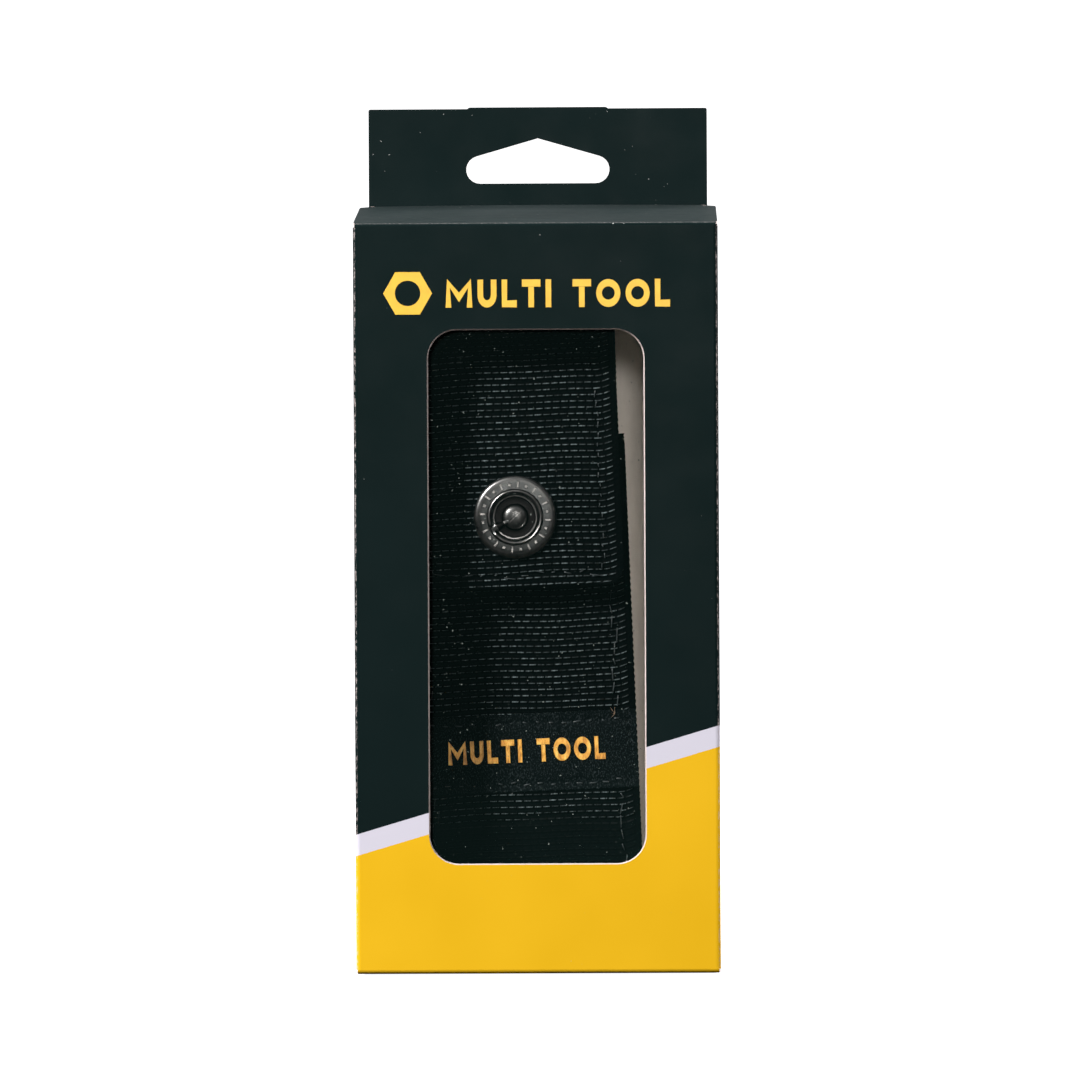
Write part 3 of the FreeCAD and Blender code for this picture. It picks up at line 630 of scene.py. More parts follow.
def folded_board(name, path, low, high, spread, art, side=1, bow=0.0, bends=(), columns=25):
    """A board that follows a path, spanning from low(t) to high(t) across it.

    The path is a list of plane points and t is the length along it. Its printed face is on the left
    of travel where side is 1. spread(a, b, span) puts a point in the row frame. bow lifts the middle
    of the span, and bends are the lengths at which the board is creased.
    """
    lengths = path_lengths(path)
    normals = path_normals(path) * side
    outer = np.zeros((len(path), columns, 3))
    inner = np.zeros_like(outer)
    crease = np.zeros((len(path), columns))
    for row, (point, normal, t) in enumerate(zip(path, normals, lengths)):
        for column in range(columns):
            share = column / (columns - 1)
            span = low(t) + (high(t) - low(t)) * share
            rise = bow * (1 - (2 * share - 1) ** 2) * min(1.0, t / lengths[-1] * 1.6)
            for lattice, depth in ((outer, 0.0), (inner, BOARD)):
                lattice[row, column] = spread(*(point + normal * (rise - depth)), span)
        crease[row] = CREASE_WEAR * max(math.exp(-((t - bend) / (0.35 * CREASE)) ** 2) for bend in bends)
    values = {"art": np.full(crease.shape, art), "crease": crease}
    return slab(name, outer, inner, BOARD_SKINS, values)


def bent_path(start, heading, run_in, radius, turn, reach, rows):
    """A straight, an arc of turn degrees (clockwise if negative), and another straight."""
    path = [np.array(start, float)]
    angle = math.radians(heading)

    def go(distance):
        path.append(path[-1] + distance * np.array([math.cos(angle), math.sin(angle)]))

    go(run_in)
    steps = 7
    chord = 2 * radius * math.sin(math.radians(abs(turn)) / steps / 2)
    angle += math.radians(turn) / steps / 2
    for _ in range(steps):
        go(chord)
        angle += math.radians(turn) / steps
    angle -= math.radians(turn) / steps / 2
    for _ in range(rows):
        go(reach / rows)
    return np.array(path)


def lid_and_tongue(side):
    """An end lid and its tucked tongue: side +1 is the top pair, which slopes, and -1 the bottom."""
    end = "top" if side > 0 else "bottom"
    crease_z = JOINTS[f"{end}_lid_crease"]["pos_m"][2]
    fold_y, fold_z = JOINTS[f"{end}_tongue_crease"]["pos_m"][1:]
    slope = math.degrees(math.atan2((fold_z - crease_z) * side, fold_y - FRONT))
    art = BLACK_ART if side > 0 else YELLOW_ART
    bend = 1.3 * MM                         # board taken up by the crease and its run in
    reach = math.hypot(fold_y - FRONT, fold_z - crease_z) - bend
    path = bent_path(
        (FRONT, crease_z - side * WALL_GAP), 90 * side, 0.1 * MM, 0.7 * MM, side * (slope - 90), reach, 18)
    length = path_lengths(path)[-1]
    rounding = 3.0 * MM

    def across(a, b, span):
        return (span, a, b)

    def width(t):
        past = max(0.0, t - (length - rounding))
        shoulder = HALF - 0.35 * MM + max(0.0, t - bend) * 0.8
        full = HALF - 0.05 * MM - rounding + math.sqrt(max(0.0, rounding ** 2 - past ** 2))
        return min(shoulder, full)

    lid = folded_board(
        f"{end}_lid_board", path, lambda t: -width(t), width, across, art, side,
        0.2 * MM if side > 0 else 0.0, (0.75 * CREASE,))
    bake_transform(lid)
    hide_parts(f"{end}_lid")

    last, heading = path[-1], math.degrees(math.atan2(*(path[-1] - path[-2])[::-1]))
    lean = math.degrees(math.atan2(*reversed(tongue_lean(end))))
    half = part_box(f"{end}_tuck_tongue")[1].x
    path = bent_path(last, heading, 0.15 * MM, 0.5 * MM, lean - heading, 12.2 * MM, 7)
    length = path_lengths(path)[-1]
    corner = 4.0 * MM

    def tongue_width(t):
        past = max(0.0, t - (length - corner))
        return half - corner + math.sqrt(max(0.0, corner ** 2 - past ** 2))

    tongue = folded_board(
        f"{end}_tongue_board", path, lambda t: -tongue_width(t), tongue_width, across, art, side,
        0.0, (0.7 * MM,))
    tuple(np.array([0, *last]))
    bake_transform(tongue)
    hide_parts(f"{end}_tuck_tongue")


def tongue_lean(end):
    """Direction (y, z) of a tongue from its fold to its free edge."""
    points = node_points(f"{end}_tuck_tongue")
    fold = np.array(JOINTS[f"{end}_tongue_crease"]["pos_m"])
    away = np.abs(points[:, 2] - fold[2])
    tip = points[away > away.max() - 0.3 * MM].mean(axis=0)
    step = (tip - fold)[1:]
    return tuple(step / np.linalg.norm(step))


def dust_flap(end, hand):
    """A dust flap that folds in from a side wall: hand is -1 on the left and +1 on the right."""
    side = 1 if end == "top" else -1
    name = f"{end}_{'right' if hand > 0 else 'left'}_dust_flap"
    low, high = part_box(name)
    outer_z = high.z if side > 0 else low.z
    reach = high.x - low.x
    start_z = WALL_TOP if side > 0 else WALL_LOW
    level = abs(outer_z - start_z)
    run_in = max(0.03 * MM, level - 0.5 * MM)
    path = bent_path((-HALF, start_z), 90 * side, run_in, level - run_in, -90 * side, reach - 0.2 * MM, 8)
    length = path_lengths(path)[-1]
    front_step, back_step, square = 9.5 * MM, 4.0 * MM, 1.5 * MM
    art = BLACK_ART if side > 0 else YELLOW_ART

    def spread(a, b, span):
        return (-hand * a, span, b)

    def near(t):
        return low.y + front_step * max(0.0, t - square) / (length - square)

    def far(t):
        return high.y - back_step * max(0.0, t - square) / (length - square)

    piece = folded_board(f"{name}_board", path, near, far, spread, art, side, 0.0, (0.6 * MM,), 13)
    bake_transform(piece)
    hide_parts(name)


def on_front(a, b, depth):
    """A point on the carton's front, depth in front of it."""
    return (a, FRONT - depth, b)


def front_print():
    """The symbol and words of the front: a hexagonal nut and what the object is."""
    centre, size = (-24.5 * MM, 130.5 * MM), 4.7 * MM
    ring = [(centre[0] + size * math.cos(a), centre[1] + size * math.sin(a))
            for a in np.radians(np.arange(0, 360, 60))]
    bore = arc_list(centre, 0.52 * size, 0, 360, 36)[:-1]
    symbol = planar_board(
        "front_symbol", ring, [bore], on_front, 0.03 * MM, -0.05 * MM, [YELLOW], lambda x, y, z: 0.0)
    for face in symbol.data.polygons:
        face.material_index = 0
    words = lettering("front_words", WORDS, STROKE, 0.06 * MM, YELLOW)
    fit_words(words, (-17.2 * MM, 25.8 * MM), (127.7 * MM, 133.2 * MM))
    for vertex in words.data.vertices:
        x, y, z = vertex.co
        vertex.co = on_front(x, y, z)
    for piece in (symbol, words):
        piece.data.update()
        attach(piece, "carton")


ROUND = [(0.5 + 0.5 * math.cos(a), 0.5 + 0.5 * math.sin(a)) for a in np.radians(np.arange(0, 360, 12))]
BOWL = [(0.5 - 0.5 * math.cos(a), 0.42 - 0.42 * math.sin(a)) for a in np.radians(np.arange(0, 181, 15))]
LETTERS = {
    "M": (0.98, [[(0, 0), (0, 1), (0.5, 0.32), (1, 1), (1, 0)]]),
    "U": (0.62, [[(0, 1), *BOWL, (1, 1)]]),
    "L": (0.44, [[(0, 1), (0, 0), (1, 0)]]),
    "T": (0.60, [[(0, 1), (1, 1)], [(0.5, 0.64), (0.5, 0)]]),
    "I": (0.0, [[(0, 1), (0, 0)]]),
    "O": (0.86, [ROUND + ROUND[:1]]),
}


def lettering(name, words, stroke, thickness, material):
    """Plain block letters as a solid mesh in the XY plane, one unit high and thickness deep."""
    vertices, faces = [], []
    x = 0.0
    for letter in words:
        width, lines = LETTERS.get(letter, (0.25, []))
        for line in lines:
            points = np.array([(x + a * width, stroke / 2 + b * (1 - stroke)) for a, b in line])
            closed = np.allclose(points[0], points[-1])
            step = np.diff(points, axis=0)
            step /= np.linalg.norm(step, axis=1)[:, None]
            before = np.vstack([step[-1] if closed else step[0], step])
            after = np.vstack([step, step[0] if closed else step[-1]])
            mean = before + after
            mean /= np.linalg.norm(mean, axis=1)[:, None]
            reach = np.minimum(1.3, 1 / np.maximum(0.2, (mean * before).sum(axis=1)))
            side = np.stack([-mean[:, 1], mean[:, 0]], axis=1) * (reach * stroke / 2)[:, None]
            if not closed:
                points[0] -= step[0] * stroke / 2
                points[-1] += step[-1] * stroke / 2
            start, count = len(vertices), len(points)
            for spot, out in zip(points, side):
                for sign, z in ((1, 0.5), (-1, 0.5), (-1, -0.5), (1, -0.5)):
                    vertices.append((*(spot + out * sign), z * thickness))
            faces += lattice_faces(count, 4, start, loop=True)
            if not closed:
                faces.append(tuple(start + k for k in range(4)))
                faces.append(tuple(start + (count - 1) * 4 + k for k in (3, 2, 1, 0)))
        x += width + stroke + LETTER_GAP
    return new_object(name, vertices, faces, [material], sharp=30)


def fit_words(obj, width, height):
    """Stretches lettering to fill a width and a height range."""
    points = np.array([v.co for v in obj.data.vertices])
    low, high = points.min(axis=0), points.max(axis=0)
    for vertex in obj.data.vertices:
        for axis, span in ((0, width), (1, height)):
            share = (vertex.co[axis] - low[axis]) / (high[axis] - low[axis])
            vertex.co[axis] = span[0] + (span[1] - span[0]) * share


def window_film():
    """The clear film behind the window, lying not quite flat."""
    low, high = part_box("window_film")
    rows, columns = 40, 24
    outer = np.zeros((rows, columns, 3))
    for r, z in enumerate(np.linspace(low.z, high.z, rows)):
        for c, x in enumerate(np.linspace(low.x, high.x, columns)):
            inward = math.sin(math.pi * r / (rows - 1)) * math.sin(math.pi * c / (columns - 1))
            wave = math.sin(x * 90 + z * 40) + 0.6 * math.sin(z * 110 - x * 60 + 1.3)
            outer[r, c] = (x, low.y + 0.03 * MM + inward * (0.35 + 0.14 * wave) * MM, z)
    inner = outer + np.array([0, high.y - low.y - 0.05 * MM, 0])
    piece = slab("window_film_sheet", outer, inner, [FILM, FILM, FILM])
    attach(piece, "carton")
    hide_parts("window_film")


# ------------------------------------------------------------------ pouch frame

UP = Vector(JOINTS["tool_draw"]["axis"]).normalized()
ACROSS = -Vector(JOINTS["snap_flap_fold"]["axis"]).normalized()
CROWN = Vector(JOINTS["snap_flap_fold"]["pos_m"])


def local_points(node):
    """A CAD node's vertices as (u, y, w) in the pouch's frame, with w 0 at the crown."""
    points = node_points(node)
    d = points - np.array(CROWN)
    return np.stack([d @ np.array(ACROSS), points[:, 1], d @ np.array(UP)], axis=1)


FOOT = local_points("pouch_base")[:, 2].min()


def local_box(node):
    """Lowest and highest corner of a CAD node in the pouch's frame, with w 0 at its base."""
    points = local_points(node) - np.array([0, 0, FOOT])
    return points.min(axis=0), points.max(axis=0)


def in_pouch(points):
    """(u, y, w) points put into the row frame."""
    points = np.asarray(points, float)
    flat = points.reshape(-1, 3)
    origin = np.array(CROWN) + np.array(UP) * FOOT
    placed = origin + flat[:, :1] * np.array(ACROSS) + flat[:, 2:] * np.array(UP)
    placed[:, 1] = flat[:, 1]
    return placed.reshape(points.shape)


def scatter(x):
    """A repeatable value from 0 to 1 that looks random from one x to the next."""
    value = np.sin(x) * 43758.5453
    return value - np.floor(value)


def dip(distance, reach):
    """A round dip: 1 in its middle, falling to nothing past reach."""
    return np.exp(-(distance / reach) ** 2)


def smooth(x):
    """Smoothstep of x over 0 to 1."""
    x = np.clip(x, 0, 1)
    return x * x * (3 - 2 * x)


def web_columns(half):
    """Column places across a strap: (u, share of bundle, bundle number, how ribbed it is)."""
    selvedge = 1.1 * MM
    inside = half - selvedge
    count = round(2 * inside / BUNDLE)
    pitch = 2 * inside / count
    edge = [(-half, 0.5, -1, 0.0), (-half + 0.35 * MM, 0.5, -1, 0.25), (-half + 0.9 * MM, 0.5, -1, 0.3)]
    middle = [(-inside + (k + q) * pitch, q, k, 1.0) for k in range(count) for q in BUNDLE_COLUMNS]
    middle.append((inside, 0.0, count, 1.0))
    far = [(-u, q, count + 1, ribbed) for u, q, _, ribbed in reversed(edge)]
    return np.array(edge + middle + far)


def web_rows(length, phases, plain=0.0):
    """Row places along a strap: (t, phase in its rib, rib number). The first plain length is coarse."""
    first = math.ceil(plain / RIB)
    count = round(length / RIB)
    pitch = length / count
    rows = [(k * pitch, 0.5, -1) for k in range(first)]
    rows += [((k + p) * pitch, p, k) for k in range(first, count) for p in phases]
    return np.array(rows + [(length, 0.0, count)])


def webbing(name, path, half, thick, seams=(), rows=None, taper=None, depth=None, sway=1.0, hems=(),
            press=None, crumple=None):
    """Ribbed webbing along a path of (y, w), its ribbed face on the left of travel.

    seams are upright lines (u) where stitching pulls the face in, and hems the same across it (t).
    taper(t) and depth(t) give the half width and the thickness where they vary, and sway is how much
    the ribs wander. press is (t, radius) of a round fitting that presses into the middle of the face.
    crumple is the length at which a soft crease crosses the face; before it the ribs' painted highlight is
    dimmed, as painted shade below the crease.
    """
    path = np.asarray(path, float)
    length = path_lengths(path)[-1]
    rows = web_rows(length, RIB_ROWS) if rows is None else rows
    columns = web_columns(half)
    t = rows[:, 0][:, None] + 0 * columns[:, 0][None, :]
    u = columns[:, 0][None, :] + 0 * t
    phase, rib = rows[:, 1][:, None], rows[:, 2][:, None]
    share, bundle, ribbed = columns[:, 1][None, :], columns[:, 2][None, :], columns[:, 3][None, :]

    crest = np.sin(np.pi * np.clip(phase, 0, 1)) ** 0.7
    gap = dip(np.minimum(share, 1 - share), 0.09)
    odd = scatter(rib * 12.9898 + bundle * 78.233)
    dash = (1 - gap * (0.75 + 0.25 * odd)) * (0.68 + 0.32 * odd)
    height = crest * (1 - BUNDLE_DIP * gap) * (0.86 + 0.14 * odd)
    body = np.where(ribbed >= 1, 1.0, ribbed)
    lift = RIB_HEIGHT * (np.where(rib < 0, 0.6, height * body + 0.35 * (1 - body)) - 1)
    # painted highlight: a bright broken line near the top of each rib, handed to the material as the rib
    # attribute
    peak = dip(phase - 0.4, 0.1)
    painted_highlight = np.where(ribbed >= 1, peak * dash, 0.10 * crest)
    painted_highlight = np.where(rib < 0, 0.2, painted_highlight)

    shove = (scatter(rib * 127.1) - 0.5) * 0.7 * BUNDLE
    u = u + shove * smooth((half - 1.6 * MM - np.abs(u)) / (2 * MM)) * (rib >= 0)
    ends = smooth(np.minimum(t, length - t) / (3 * MM))
    edge = smooth((np.abs(u) - (half - EDGE_ZONE)) / EDGE_ZONE)
    # the ribs wander along the strap, and its face rises and falls a little
    drift = 0.16 * np.sin(u * 130 + t * 31 + 0.6) + 0.09 * np.sin(u * 300 - t * 47 + half * 900)
    slide = (EDGE_SWEEP * edge * edge + sway * drift * MM) * ends
    swell = (0.16 * np.sin(u * 75 + 1.1) * np.sin(t * 62 + 0.4) + 0.08 * np.sin(u * 210 + t * 120)) * MM
    lift = lift + sway * swell * ends * smooth((half - np.abs(u)) / (3 * MM) + 0.3)
    for seam in seams:
        lift = lift - SEAM_DENT * dip(u - seam, SEAM_REACH)
    for hem in hems:
        lift = lift - SEAM_DENT * dip(t - hem, SEAM_REACH)
    if press is not None:
        lift = lift - 0.45 * MM * smooth((press[1] - np.hypot(u, t - press[0])) / (1.5 * MM))

    if crumple is not None:
        line = crumple + 0.5 * MM * np.sin(u * 210 + 0.8)
        lift = lift - 0.40 * MM * dip(t - line, 1.0 * MM)
        # painted shade: the ribs' painted highlight is dimmed below the crease
        painted_highlight = painted_highlight * (1 - 0.62 * smooth((line + 0.6 * MM - t) / (1.8 * MM)))

    where = np.clip(t + slide, 0, length)
    known = path_lengths(path)
    normals = path_normals(path)
    y, w, ny, nw = (np.interp(where, known, v) for v in (*path.T, *normals.T))
    norm = np.hypot(ny, nw)
    ny, nw = ny / norm, nw / norm
    if taper is not None:
        u = u * np.vectorize(taper)(t) / half
    u = u + (ribbed < 0.2) * np.sign(u) * 0.10 * MM * np.cos(TAU * phase)
    back = thick if depth is None else np.vectorize(depth)(t)
    outer = np.stack([u, y + ny * lift, w + nw * lift], axis=2)
    inner = np.stack([u, y - ny * back, w - nw * back], axis=2)
    painted_highlight = np.broadcast_to(painted_highlight, t.shape)
    return slab(name, in_pouch(outer), in_pouch(inner), [WEBBING] * 3, {"rib": painted_highlight}, 75.0)


def stitches(name, runs, material, radius=THREAD, wander=0.12):
    """Thread stitches as one mesh. runs are lists of ((u, y, w), (du, dy, dw), (ou, oy, ow)).

    Each is a stitch's middle, half its length as a vector, and the outward normal.
    """
    sides, rings = 6, (-1.0, -0.82, -0.35, 0.35, 0.82, 1.0)
    sink = (-1.6, -0.35, 0.25, 0.25, -0.35, -1.6)
    vertices, faces = [], []
    for middle, reach, out in runs:
        middle, reach, out = (np.array(v, float) for v in (middle, reach, out))
        jitter = np.array([random.uniform(-1, 1) for _ in range(3)]) * wander
        reach = reach * (1 + jitter[0]) + np.linalg.norm(reach) * jitter * (1 - np.abs(out))
        middle = middle + np.cross(reach, out) * 2 * jitter[1]
        side = np.cross(reach, out)
        side /= np.linalg.norm(side)
        start = len(vertices)
        for k, s in zip(rings, sink):
            vertices += ring_round(middle + reach * k + out * radius * s, radius, side, out, sides)
        faces += lattice_faces(len(rings), sides, start, loop=True)
        faces.append(tuple(start + a for a in range(sides))[::-1])
        last = start + (len(rings) - 1) * sides
        faces.append(tuple(last + a for a in range(sides)))
    return new_object(name, in_pouch(np.array(vertices)), faces, [material], sharp=80)


def line_of_stitches(first, last, pitch, out, fill=0.80):
    """Stitch places from one (u, y, w) point to another."""
    first, last = np.array(first, float), np.array(last, float)
    total = np.linalg.norm(last - first)
    count = max(1, round(total / pitch))
    step = (last - first) / count
    return [(first + step * (k + 0.5), step * 0.5 * fill, out) for k in range(count)]


# ------------------------------------------------------------------ pouch webbing

front_lo, front_hi = local_box("pouch_front_panel")
rear_hi = local_box("pouch_back_panel")[1]
flap_lo, flap_hi = local_box("pouch_flap")
label_lo, label_hi = local_box("woven_label")
cap_lo, cap_hi = local_box("snap_cap")
loop_lo, loop_hi = local_box("belt_loop")

POCKET_HALF = front_hi[0]
POCKET_FACE = front_lo[1]
STRAP_THICK = rear_hi[1] - local_box("right_elastic_gusset")[1][1]
STRAP_HALF = flap_hi[0]
FLAP_FACE = flap_lo[1]
BACK_FACE = rear_hi[1]
BASE_TURN = 4.0 * MM
CROWN_SPLIT = 76                        # degrees round the fold where the back ends and the flap starts
CROWN_STEPS = 24
FOLD_Y = CROWN.y
FOLD_RADIUS = FOLD_Y - FLAP_FACE
FOLD_W = flap_hi[2] - FOLD_RADIUS
FLAP_LOW = flap_lo[2]
MOUTH = front_hi[2]
SIDE_SEAM = POCKET_HALF - 3.5 * MM
FLAP_SEAM = STRAP_HALF - 3.9 * MM
FLAP_HEM = 2.5 * MM
LABEL_SEAMS = (label_lo[2] + 1.4 * MM, label_hi[2] - 1.8 * MM)
CRUMPLE_DROP = 5.8 * MM                 # from the label down to the crease across the pocket
FORWARD = (0, -1, 0)


def pocket():
    """Front and base of the pocket: one strap that comes up from the back's lower edge."""
    path = [
        (BACK_FACE, BASE_TURN), *arc_list((BACK_FACE - BASE_TURN, BASE_TURN), BASE_TURN, 0, -90),
        *arc_list((POCKET_FACE + BASE_TURN, BASE_TURN), BASE_TURN, 270, 180),
        (POCKET_FACE, BASE_TURN + 2 * MM), (POCKET_FACE, MOUTH)]
    path = np.array([p for k, p in enumerate(path) if k == 0 or p != path[k - 1]])
    length = path_lengths(path)[-1]
    under = length - (MOUTH - BASE_TURN) - 6.0 * MM
    rows = web_rows(length, RIB_ROWS, under)
    label_rows = [length - (MOUTH - w) for w in LABEL_SEAMS]
    piece = webbing(
        "pouch_pocket", path, POCKET_HALF, STRAP_THICK, (SIDE_SEAM, -SIDE_SEAM), rows, hems=label_rows,
        crumple=length - (MOUTH - label_lo[2]) - CRUMPLE_DROP)
    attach(piece, "pouch")
    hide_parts("pouch_front_panel", "pouch_base")


def flap():
    """The flap: down the front from just behind the crown, its end turned under and sewn."""
    fold = (FOLD_Y, FOLD_W)
    step = MOUTH + 0.5 * MM
    path = np.array([
        (FLAP_FACE, FLAP_LOW), (FLAP_FACE, step - 3 * MM), (FLAP_FACE + 0.35 * MM, step),
        (FLAP_FACE + 0.15 * MM, step + 3 * MM), *arc_list(fold, FOLD_RADIUS, 180, CROWN_SPLIT, CROWN_STEPS)])
    corner = 3.0 * MM

    def taper(t):
        past = max(0.0, corner - t)
        return STRAP_HALF - corner + math.sqrt(max(0.0, corner ** 2 - past ** 2))

    def depth(t):
        return STRAP_THICK * (1.9 if t < 6.5 * MM else 1.0)

    piece = webbing(
        "pouch_flap_strap", path, STRAP_HALF, STRAP_THICK, (FLAP_SEAM, -FLAP_SEAM), taper=taper,
        depth=depth, hems=(FLAP_HEM,), press=((cap_lo[2] + cap_hi[2]) / 2 - FLAP_LOW, 6.6 * MM))
    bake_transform(piece)
    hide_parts("pouch_flap")


def back():
    """The back of the pouch, from behind the crown down to the base."""
    fold = (FOLD_Y, FOLD_W)
    path = np.array([
        *arc_list(fold, FOLD_RADIUS, CROWN_SPLIT, 0, CROWN_STEPS), (BACK_FACE, FOLD_W - 2 * MM),
        (BACK_FACE, BASE_TURN)])
    length = path_lengths(path)[-1]
    rows = web_rows(length, PLAIN_ROWS)
    widening = length - (MOUTH - BASE_TURN) - 0.6 * MM

    def taper(t):
        return STRAP_HALF + (POCKET_HALF - STRAP_HALF) * float(smooth((t - widening) / (1.2 * MM)))

    piece = webbing(
        "pouch_back", path, STRAP_HALF, STRAP_THICK, (FLAP_SEAM, -FLAP_SEAM), rows, taper=taper)
    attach(piece, "pouch")
    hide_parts("pouch_back_panel")


def belt_loop():
    """The belt loop, sewn to the back at both ends and standing clear of it between them."""
    seat, ramp, strap = 8.0 * MM, 5.0 * MM, 1.2 * MM
    near, far = BACK_FACE + strap, loop_hi[1]
    top, low = loop_hi[2], loop_lo[2]
    path = np.array([
        (near, top), (near, top - seat + 1 * MM), (far, top - seat - ramp - 1 * MM),
        (far, low + seat + ramp + 1 * MM), (near, low + seat - 1 * MM), (near, low)])
    lengths = np.linspace(0, path_lengths(path)[-1], 200)
    line = along(path, lengths)
    for _ in range(60):
        line[1:-1] = 0.25 * line[:-2] + 0.5 * line[1:-1] + 0.25 * line[2:]
    rows = web_rows(path_lengths(line)[-1], PLAIN_ROWS)
    piece = webbing("pouch_belt_loop", line, loop_hi[0], strap - 0.1 * MM, rows=rows, sway=0.3)
    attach(piece, "pouch")
    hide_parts("belt_loop")
    runs = []
    half = loop_hi[0] - 2 * MM
    for w in (low + 1.5 * MM, low + 5.5 * MM, top - 1.5 * MM, top - 5.5 * MM):
        runs += line_of_stitches((-half, near, w), (half, near, w), STITCH, (0, 1, 0))
    thread = stitches("belt_loop_stitches", runs, BLACK_THREAD)
    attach(thread, "pouch")


def gusset(hand):
    """An elastic side of the pocket: a wall set in from the edge with a flange at front and back."""
    node = "right_elastic_gusset" if hand > 0 else "left_elastic_gusset"
    low, high = local_box(node)
    wall, edge = sorted((abs(low[0]), abs(high[0])))
    thick = 0.6 * MM
    y0, y1 = low[1] + 0.02 * MM, high[1] - 0.02 * MM
    bend = 1.6 * MM
    plan = np.array([
        (edge, y0), *arc((wall + bend, y0 + bend), bend, 270, 180, 8),
        *arc((wall + bend, y1 - bend), bend, 180, 90, 8), (edge, y1)])
    total = path_lengths(plan)[-1]
    lengths = np.linspace(0, total, 111)
    line = along(plan, lengths)
    normals = path_normals(line)
    heights = np.linspace(low[2], high[2], 60)
    outer = np.zeros((len(line), len(heights), 3))
    inner = np.zeros_like(outer)
    for row, ((u, y), (nu, ny), t) in enumerate(zip(line, normals, lengths)):
        for column, w in enumerate(heights):
            ridge = 0.05 * MM * (math.cos(TAU * t / (1.1 * MM)) - 1)
            ripple = 0.06 * MM * math.sin(w * 900 + t * 200)
            a = ridge + ripple * math.sin(math.pi * t / total)
            outer[row, column] = (hand * (u - nu * a), y - ny * a, w)
            inner[row, column] = (hand * (u + nu * thick), y + ny * thick, w)
    piece = slab(node + "_cloth", in_pouch(inner), in_pouch(outer), [ELASTIC] * 3)
    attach(piece, "pouch")
    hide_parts(node)


def seam_threads():
    """Stitches of the pocket's sides, broken where the label crosses them, which ride on the pouch."""
    runs = []
    y = POCKET_FACE - 0.02 * MM
    for u in (-SIDE_SEAM, SIDE_SEAM):
        runs += line_of_stitches((u, y, 5 * MM), (u, y, label_lo[2] - 0.5 * MM), STITCH, FORWARD)
        runs += line_of_stitches((u, y, label_hi[2] + 0.5 * MM), (u, y, MOUTH - 2 * MM), STITCH, FORWARD)
    thread = stitches("pocket_side_stitches", runs, BLACK_THREAD, FINE_THREAD, 0.3)
    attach(thread, "pouch")


def flap_threads():
    """Stitches of the flap: up both sides and across the hem."""
    y, hem = FLAP_FACE - 0.02 * MM, FLAP_LOW + FLAP_HEM
    runs = []
    for u in (-FLAP_SEAM, FLAP_SEAM):
        runs += line_of_stitches((u, y, hem), (u, y, FOLD_W - 1 * MM), 1.9 * MM, FORWARD, 0.42)
    runs += line_of_stitches((-FLAP_SEAM, y, hem), (FLAP_SEAM, y, hem), 2.7 * MM, FORWARD, 0.5)
    thread = stitches("flap_stitches", runs, BLACK_THREAD, FINE_THREAD, 0.35)
    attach(thread, "pouch_flap")


def label():
    """The woven ribbon across the pocket, puckered along its two rows of stitches, and its words."""
    rows, columns = 60, 150
    low, high = label_lo, label_hi
    face = low[1]
    outer = np.zeros((rows, columns, 3))
    for r, share in enumerate(np.linspace(0, 1, rows)):
        for c, u in enumerate(np.linspace(low[0], high[0], columns)):
            w = low[2] + (high[2] - low[2]) * share
            frayed = 0.07 * MM * (math.sin(u * 3100) + math.sin(u * 5300 + 1)) * (abs(2 * share - 1) ** 12)
            pucker = sum(math.exp(-((w - seam) / (0.8 * MM)) ** 2) for seam in LABEL_SEAMS)
            pull = 0.5 + 0.5 * math.cos(TAU * u / STITCH)
            sag = 0.05 * MM * math.sin(u * 420 + w * 260)
            y = face + 0.10 * MM + pucker * (0.10 + 0.12 * pull) * MM + sag
            outer[r, c] = (u, y, w + frayed)
    inner = outer.copy()
    inner[:, :, 1] = np.maximum(outer[:, :, 1] + 0.22 * MM, face + 0.38 * MM)
    piece = slab("woven_label_ribbon", in_pouch(outer), in_pouch(inner), [SATIN] * 3, sharp=60)
    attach(piece, "pouch")
    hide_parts("woven_label")

    words = lettering("label_words", WORDS, STROKE, 0.30 * MM, GOLD)
    middle, reach = 0.2 * MM, 15.2 * MM
    fit_words(words, (middle - reach, middle + reach), (low[2] + 5.6 * MM, low[2] + 10.2 * MM))
    points = np.array([v.co for v in words.data.vertices])
    placed = in_pouch(np.stack([points[:, 0], face + 0.05 * MM - points[:, 2], points[:, 1]], axis=1))
    for vertex, co in zip(words.data.vertices, placed):
        vertex.co = co
    words.data.update()
    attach(words, "pouch")

    runs = []
    y, reach = face + 0.22 * MM, SIDE_SEAM + 1 * MM
    for w in LABEL_SEAMS:
        runs += line_of_stitches((-reach, y, w), (reach, y, w), STITCH, FORWARD, 0.38)
    thread = stitches("label_stitches", runs, BLACK_THREAD, LABEL_THREAD, 0.3)
    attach(thread, "pouch")


